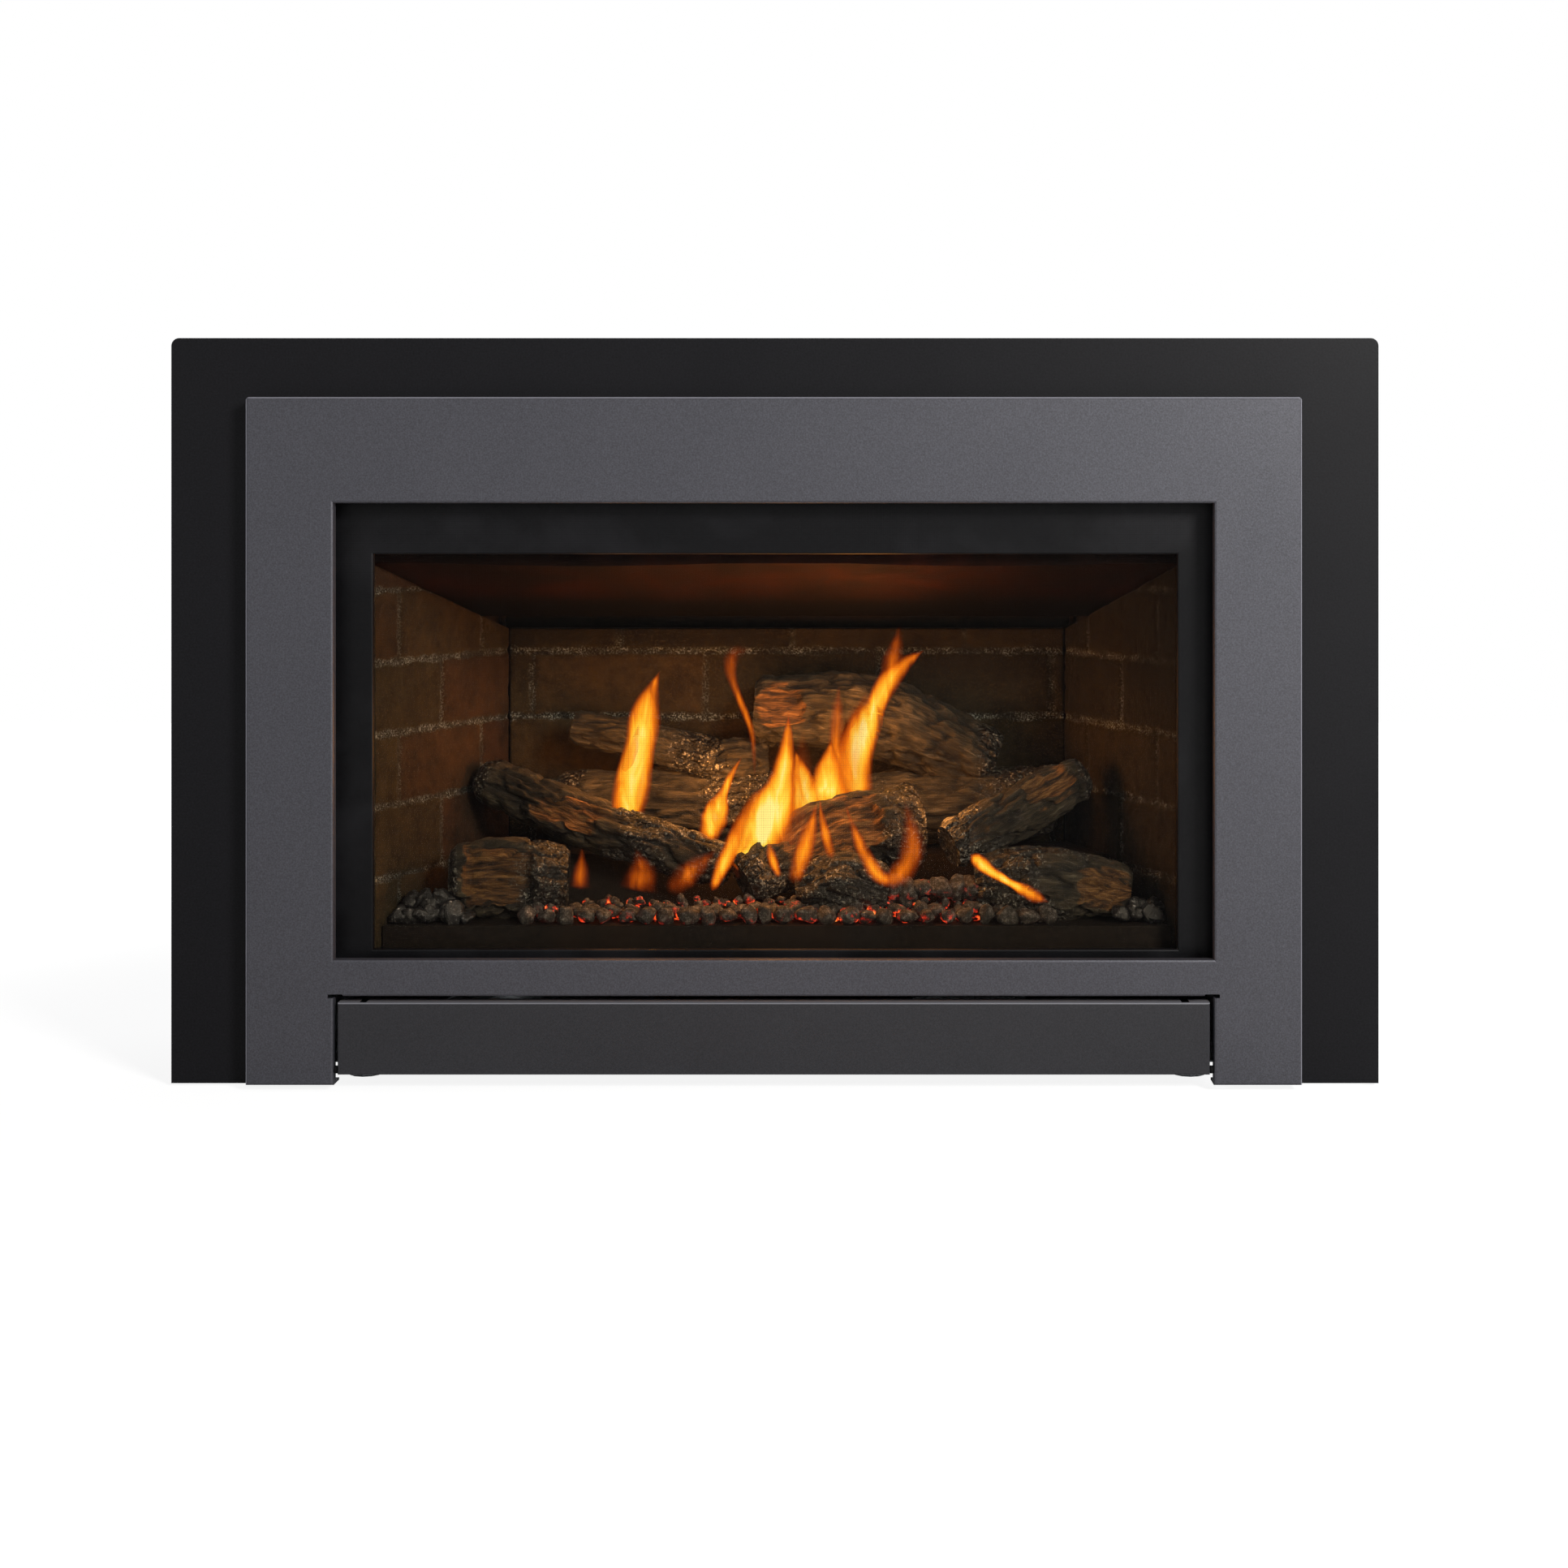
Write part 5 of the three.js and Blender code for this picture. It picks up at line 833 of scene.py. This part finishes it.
# Each flame's name, depth and power, and its stops: picture x and y and half its width, in pixels.
for name, *tongue in [
    ("tall_left", 112, 1.15, [
        (772, 1010, 20), (776, 985, 21), (783, 946, 19), (791, 907, 19), (796, 875, 17), (804, 849, 9),
        (813, 827, 1)]),
    ("tall_left_foot", 108, 0.8, [(756, 1002, 5), (766, 980, 9), (775, 950, 10), (783, 915, 6), (788, 890, 1)]),
    ("small_left", 80, 1.0, [
        (870, 1038, 12), (878, 1015, 16), (884, 996, 13), (891, 977, 7), (903, 951, 4), (914, 933, 1)]),
    ("curl", 150, 0.42, [
        (930, 955, 3), (927, 907, 4), (919, 881, 5), (906, 849, 6), (900, 824, 9), (905, 806, 10), (926, 799, 3)]),
    ("left_foot", 50, 0.8, [
        (877, 1098, 5), (888, 1072, 9), (902, 1042, 11), (915, 1012, 8), (926, 980, 1)]),
    ("centre_left", 78, 1.2, [
        (910, 1072, 20), (923, 1044, 28), (942, 1012, 29), (958, 980, 21), (966, 945, 13), (970, 913, 8),
        (972, 880, 1)]),
    ("centre_low", 100, 1.1, [
        (996, 1020, 20), (993, 994, 20), (990, 968, 17), (985, 945, 9), (980, 925, 1)]),
    ("centre_middle", 108, 1.05, [
        (1020, 1010, 24), (1020, 984, 24), (1020, 956, 19), (1022, 934, 11), (1024, 912, 1)]),
    ("centre_high", 116, 0.45, [
        (1031, 968, 12), (1031, 935, 12), (1031, 900, 11), (1032, 869, 8), (1034, 842, 1)]),
    ("haze_left", 84, 0.4, [
        (908, 1080, 16), (932, 1048, 32), (956, 1014, 36), (976, 975, 30), (986, 935, 16), (990, 898, 1)]),
    ("haze_right", 120, 0.4, [
        (1034, 1000, 26), (1040, 965, 28), (1046, 925, 24), (1056, 885, 15), (1070, 848, 1)]),
    ("main", 160, 1.2, [
        (1050, 990, 20), (1052, 966, 22), (1054, 940, 20), (1060, 910, 19), (1070, 886, 16), (1080, 866, 14),
        (1093, 843, 15), (1108, 824, 12), (1124, 811, 6), (1138, 802, 1)]),
    ("main_edge", 156, 0.5, [
        (1040, 980, 12), (1040, 945, 12), (1044, 912, 10), (1054, 884, 7), (1064, 860, 1)]),
    ("main_tip", 164, 0.42, [
        (1088, 852, 9), (1096, 828, 12), (1102, 806, 12), (1106, 788, 8), (1108, 770, 1)]),
    ("front_left", 40, 0.62, [
        (977, 1088, 8), (987, 1060, 12), (995, 1034, 12), (1002, 1009, 7), (1007, 986, 1)]),
    ("front_thin", 40, 0.55, [(960, 1082, 4), (951, 1056, 7), (946, 1032, 1)]),
    ("front_middle", 40, 0.55, [(1026, 1058, 6), (1017, 1028, 7), (1012, 1003, 4), (1010, 985, 1)]),
    ("front_right", 34, 0.62, [
        (1100, 1086, 8), (1080, 1076, 10), (1064, 1048, 9), (1052, 1022, 6), (1041, 990, 1)]),
    ("front_curl", 36, 0.46, [
        (1082, 1084, 6), (1100, 1082, 13), (1116, 1068, 16), (1124, 1042, 16), (1122, 1014, 12), (1114, 984, 1)]),
    ("low_right", 22, 1.0, [
        (1196, 1054, 4), (1206, 1062, 9), (1222, 1074, 7), (1246, 1088, 5), (1262, 1097, 8), (1276, 1105, 9),
        (1292, 1112, 1)]),
    ("thin_left", 30, 0.36, [(714, 1096, 14), (716, 1072, 10), (717, 1044, 1)]),
    ("thin_middle", 30, 0.38, [(786, 1098, 24), (790, 1074, 18), (784, 1044, 1)]),
    ("thin_right", 34, 0.38, [(824, 1100, 10), (846, 1078, 16), (868, 1060, 10), (884, 1046, 1)]),
]:
    flame(f"flame_{name}", *tongue)

# ---------------- camera, floor and light

def lamp(name, kind, place, watts, code, aim=None, **settings):
    """A lamp at place, in metres, that faces aim where it has one. settings give its size."""
    data = bpy.data.lights.new(name, kind)
    data.energy, data.color = watts, linear(code)[:3]
    for key, value in settings.items():
        setattr(data, key, value)
    made = placed(name, data)
    made.location = place
    if aim:
        made.rotation_euler = (Vector(aim) - Vector(place)).to_track_quat("-Z", "Y").to_euler()


# The lens that puts FOCAL, AXIS_X and AXIS_Y on a square picture.
lens = bpy.data.cameras.new("camera")
lens.lens, lens.sensor_width = 55.06, 36.0
lens.shift_x, lens.shift_y = -0.0642, -0.161
camera = placed("camera", lens)
camera.location = metres([(CAMERA_X, -CAMERA_AWAY, CAMERA_Z)])[0]
camera.rotation_euler = (math.radians(90), 0, 0)
bpy.context.scene.camera = camera

# Soft boxes: a key light from the front right, one behind and a weak fill; place, aim and width in metres.
for name, place, aim, width, watts, code in [
    ("key", (1.85, -3.0, 1.7), (0.1, -0.2, 0.4), 0.8, 150, "fffdfa"),
    ("rear", (2.2, 2.6, 2.2), (0.0, 0.2, 0.3), 1.6, 60, "fbfcff"),
    ("fill", (-2.4, -2.4, 1.0), (0.0, -0.2, 0.3), 2.0, 6, "f4f7ff"),
]:
    lamp(name, "AREA", place, watts, code, aim, shape="RECTANGLE", size=width, size_y=width)

# The light that the flames throw: soft balls of it in the firebox, place in millimetres.
for order, (place, watts) in enumerate([
    ((-150, 100, 285), 0.8), ((10, 80, 290), 1.2), ((80, 120, 330), 0.65), ((150, 80, 240), 0.5),
    ((-60, 150, 255), 0.5), ((0, 60, 185), 0.4),
]):
    lamp(f"flame_glow_{order}", "POINT", metres([place])[0], watts, "ffab58", shadow_soft_size=0.04)

world = bpy.data.worlds.new("studio")
bpy.context.scene.world = world
world.use_nodes = True
world.node_tree.nodes.clear()
add = partial(add_to, world.node_tree)
seen = add("LightPath")
both = add("Math", links={0: seen.outputs["Is Camera Ray"], 1: seen.outputs["Is Glossy Ray"]}, operation="MAXIMUM")
shown = add("Math", links={0: both, 1: seen.outputs["Is Transmission Ray"]}, operation="MAXIMUM")
soft = add("Background", {"Color": "ffffff", "Strength": 0.16})
white = add("Background", {"Color": "ffffff", "Strength": 1.0})
sky_mix = add("MixShader", links={0: shown, 1: soft, 2: white})
add("OutputWorld", links={"Surface": sky_mix})


def studio_floor():
    """A plain pale floor, four metres each way, that shows white and keeps the insert's shadow."""
    made, add, shader, where = material("pale_floor")
    grain = add("TexNoise", {"Scale": per_mm(400), "Detail": 2.0}, {"Vector": where})
    tone = add("ValToRGB", links={"Fac": grain}, stops=[(0.3, "f4f4f4"), (0.7, "fafafa")])
    fill(shader, {"Roughness": 0.9, "Specular IOR Level": 0.1}, {"Base Color": tone})
    white = add("Emission", {"Color": "ffffff", "Strength": 1.16})
    path = add("LightPath")
    away = add("VectorMath", links={0: where}, operation="LENGTH")
    far = add("MapRange", links={"Value": away}, span=(0.7, 1.5, 0.76, 1), interpolation_type="SMOOTHSTEP")
    shown = add("Math", links={0: path.outputs["Is Camera Ray"], 1: far}, operation="MULTIPLY")
    mix = add("MixShader", links={0: shown, 1: shader, 2: white})
    fill(made.node_tree.nodes["Material Output"], links={"Surface": mix})
    corners = np.array([[-4000, -4000, 0], [4000, -4000, 0], [4000, 4000, 0], [-4000, 4000, 0]], dtype=float)
    mesh = bpy.data.meshes.new("floor")
    mesh.from_pydata(metres(corners).tolist(), [], [(0, 1, 2, 3)])
    mesh.materials.append(made)
    floor = placed("floor", mesh)


studio_floor()

bpy.context.scene.view_settings.view_transform = "Standard"
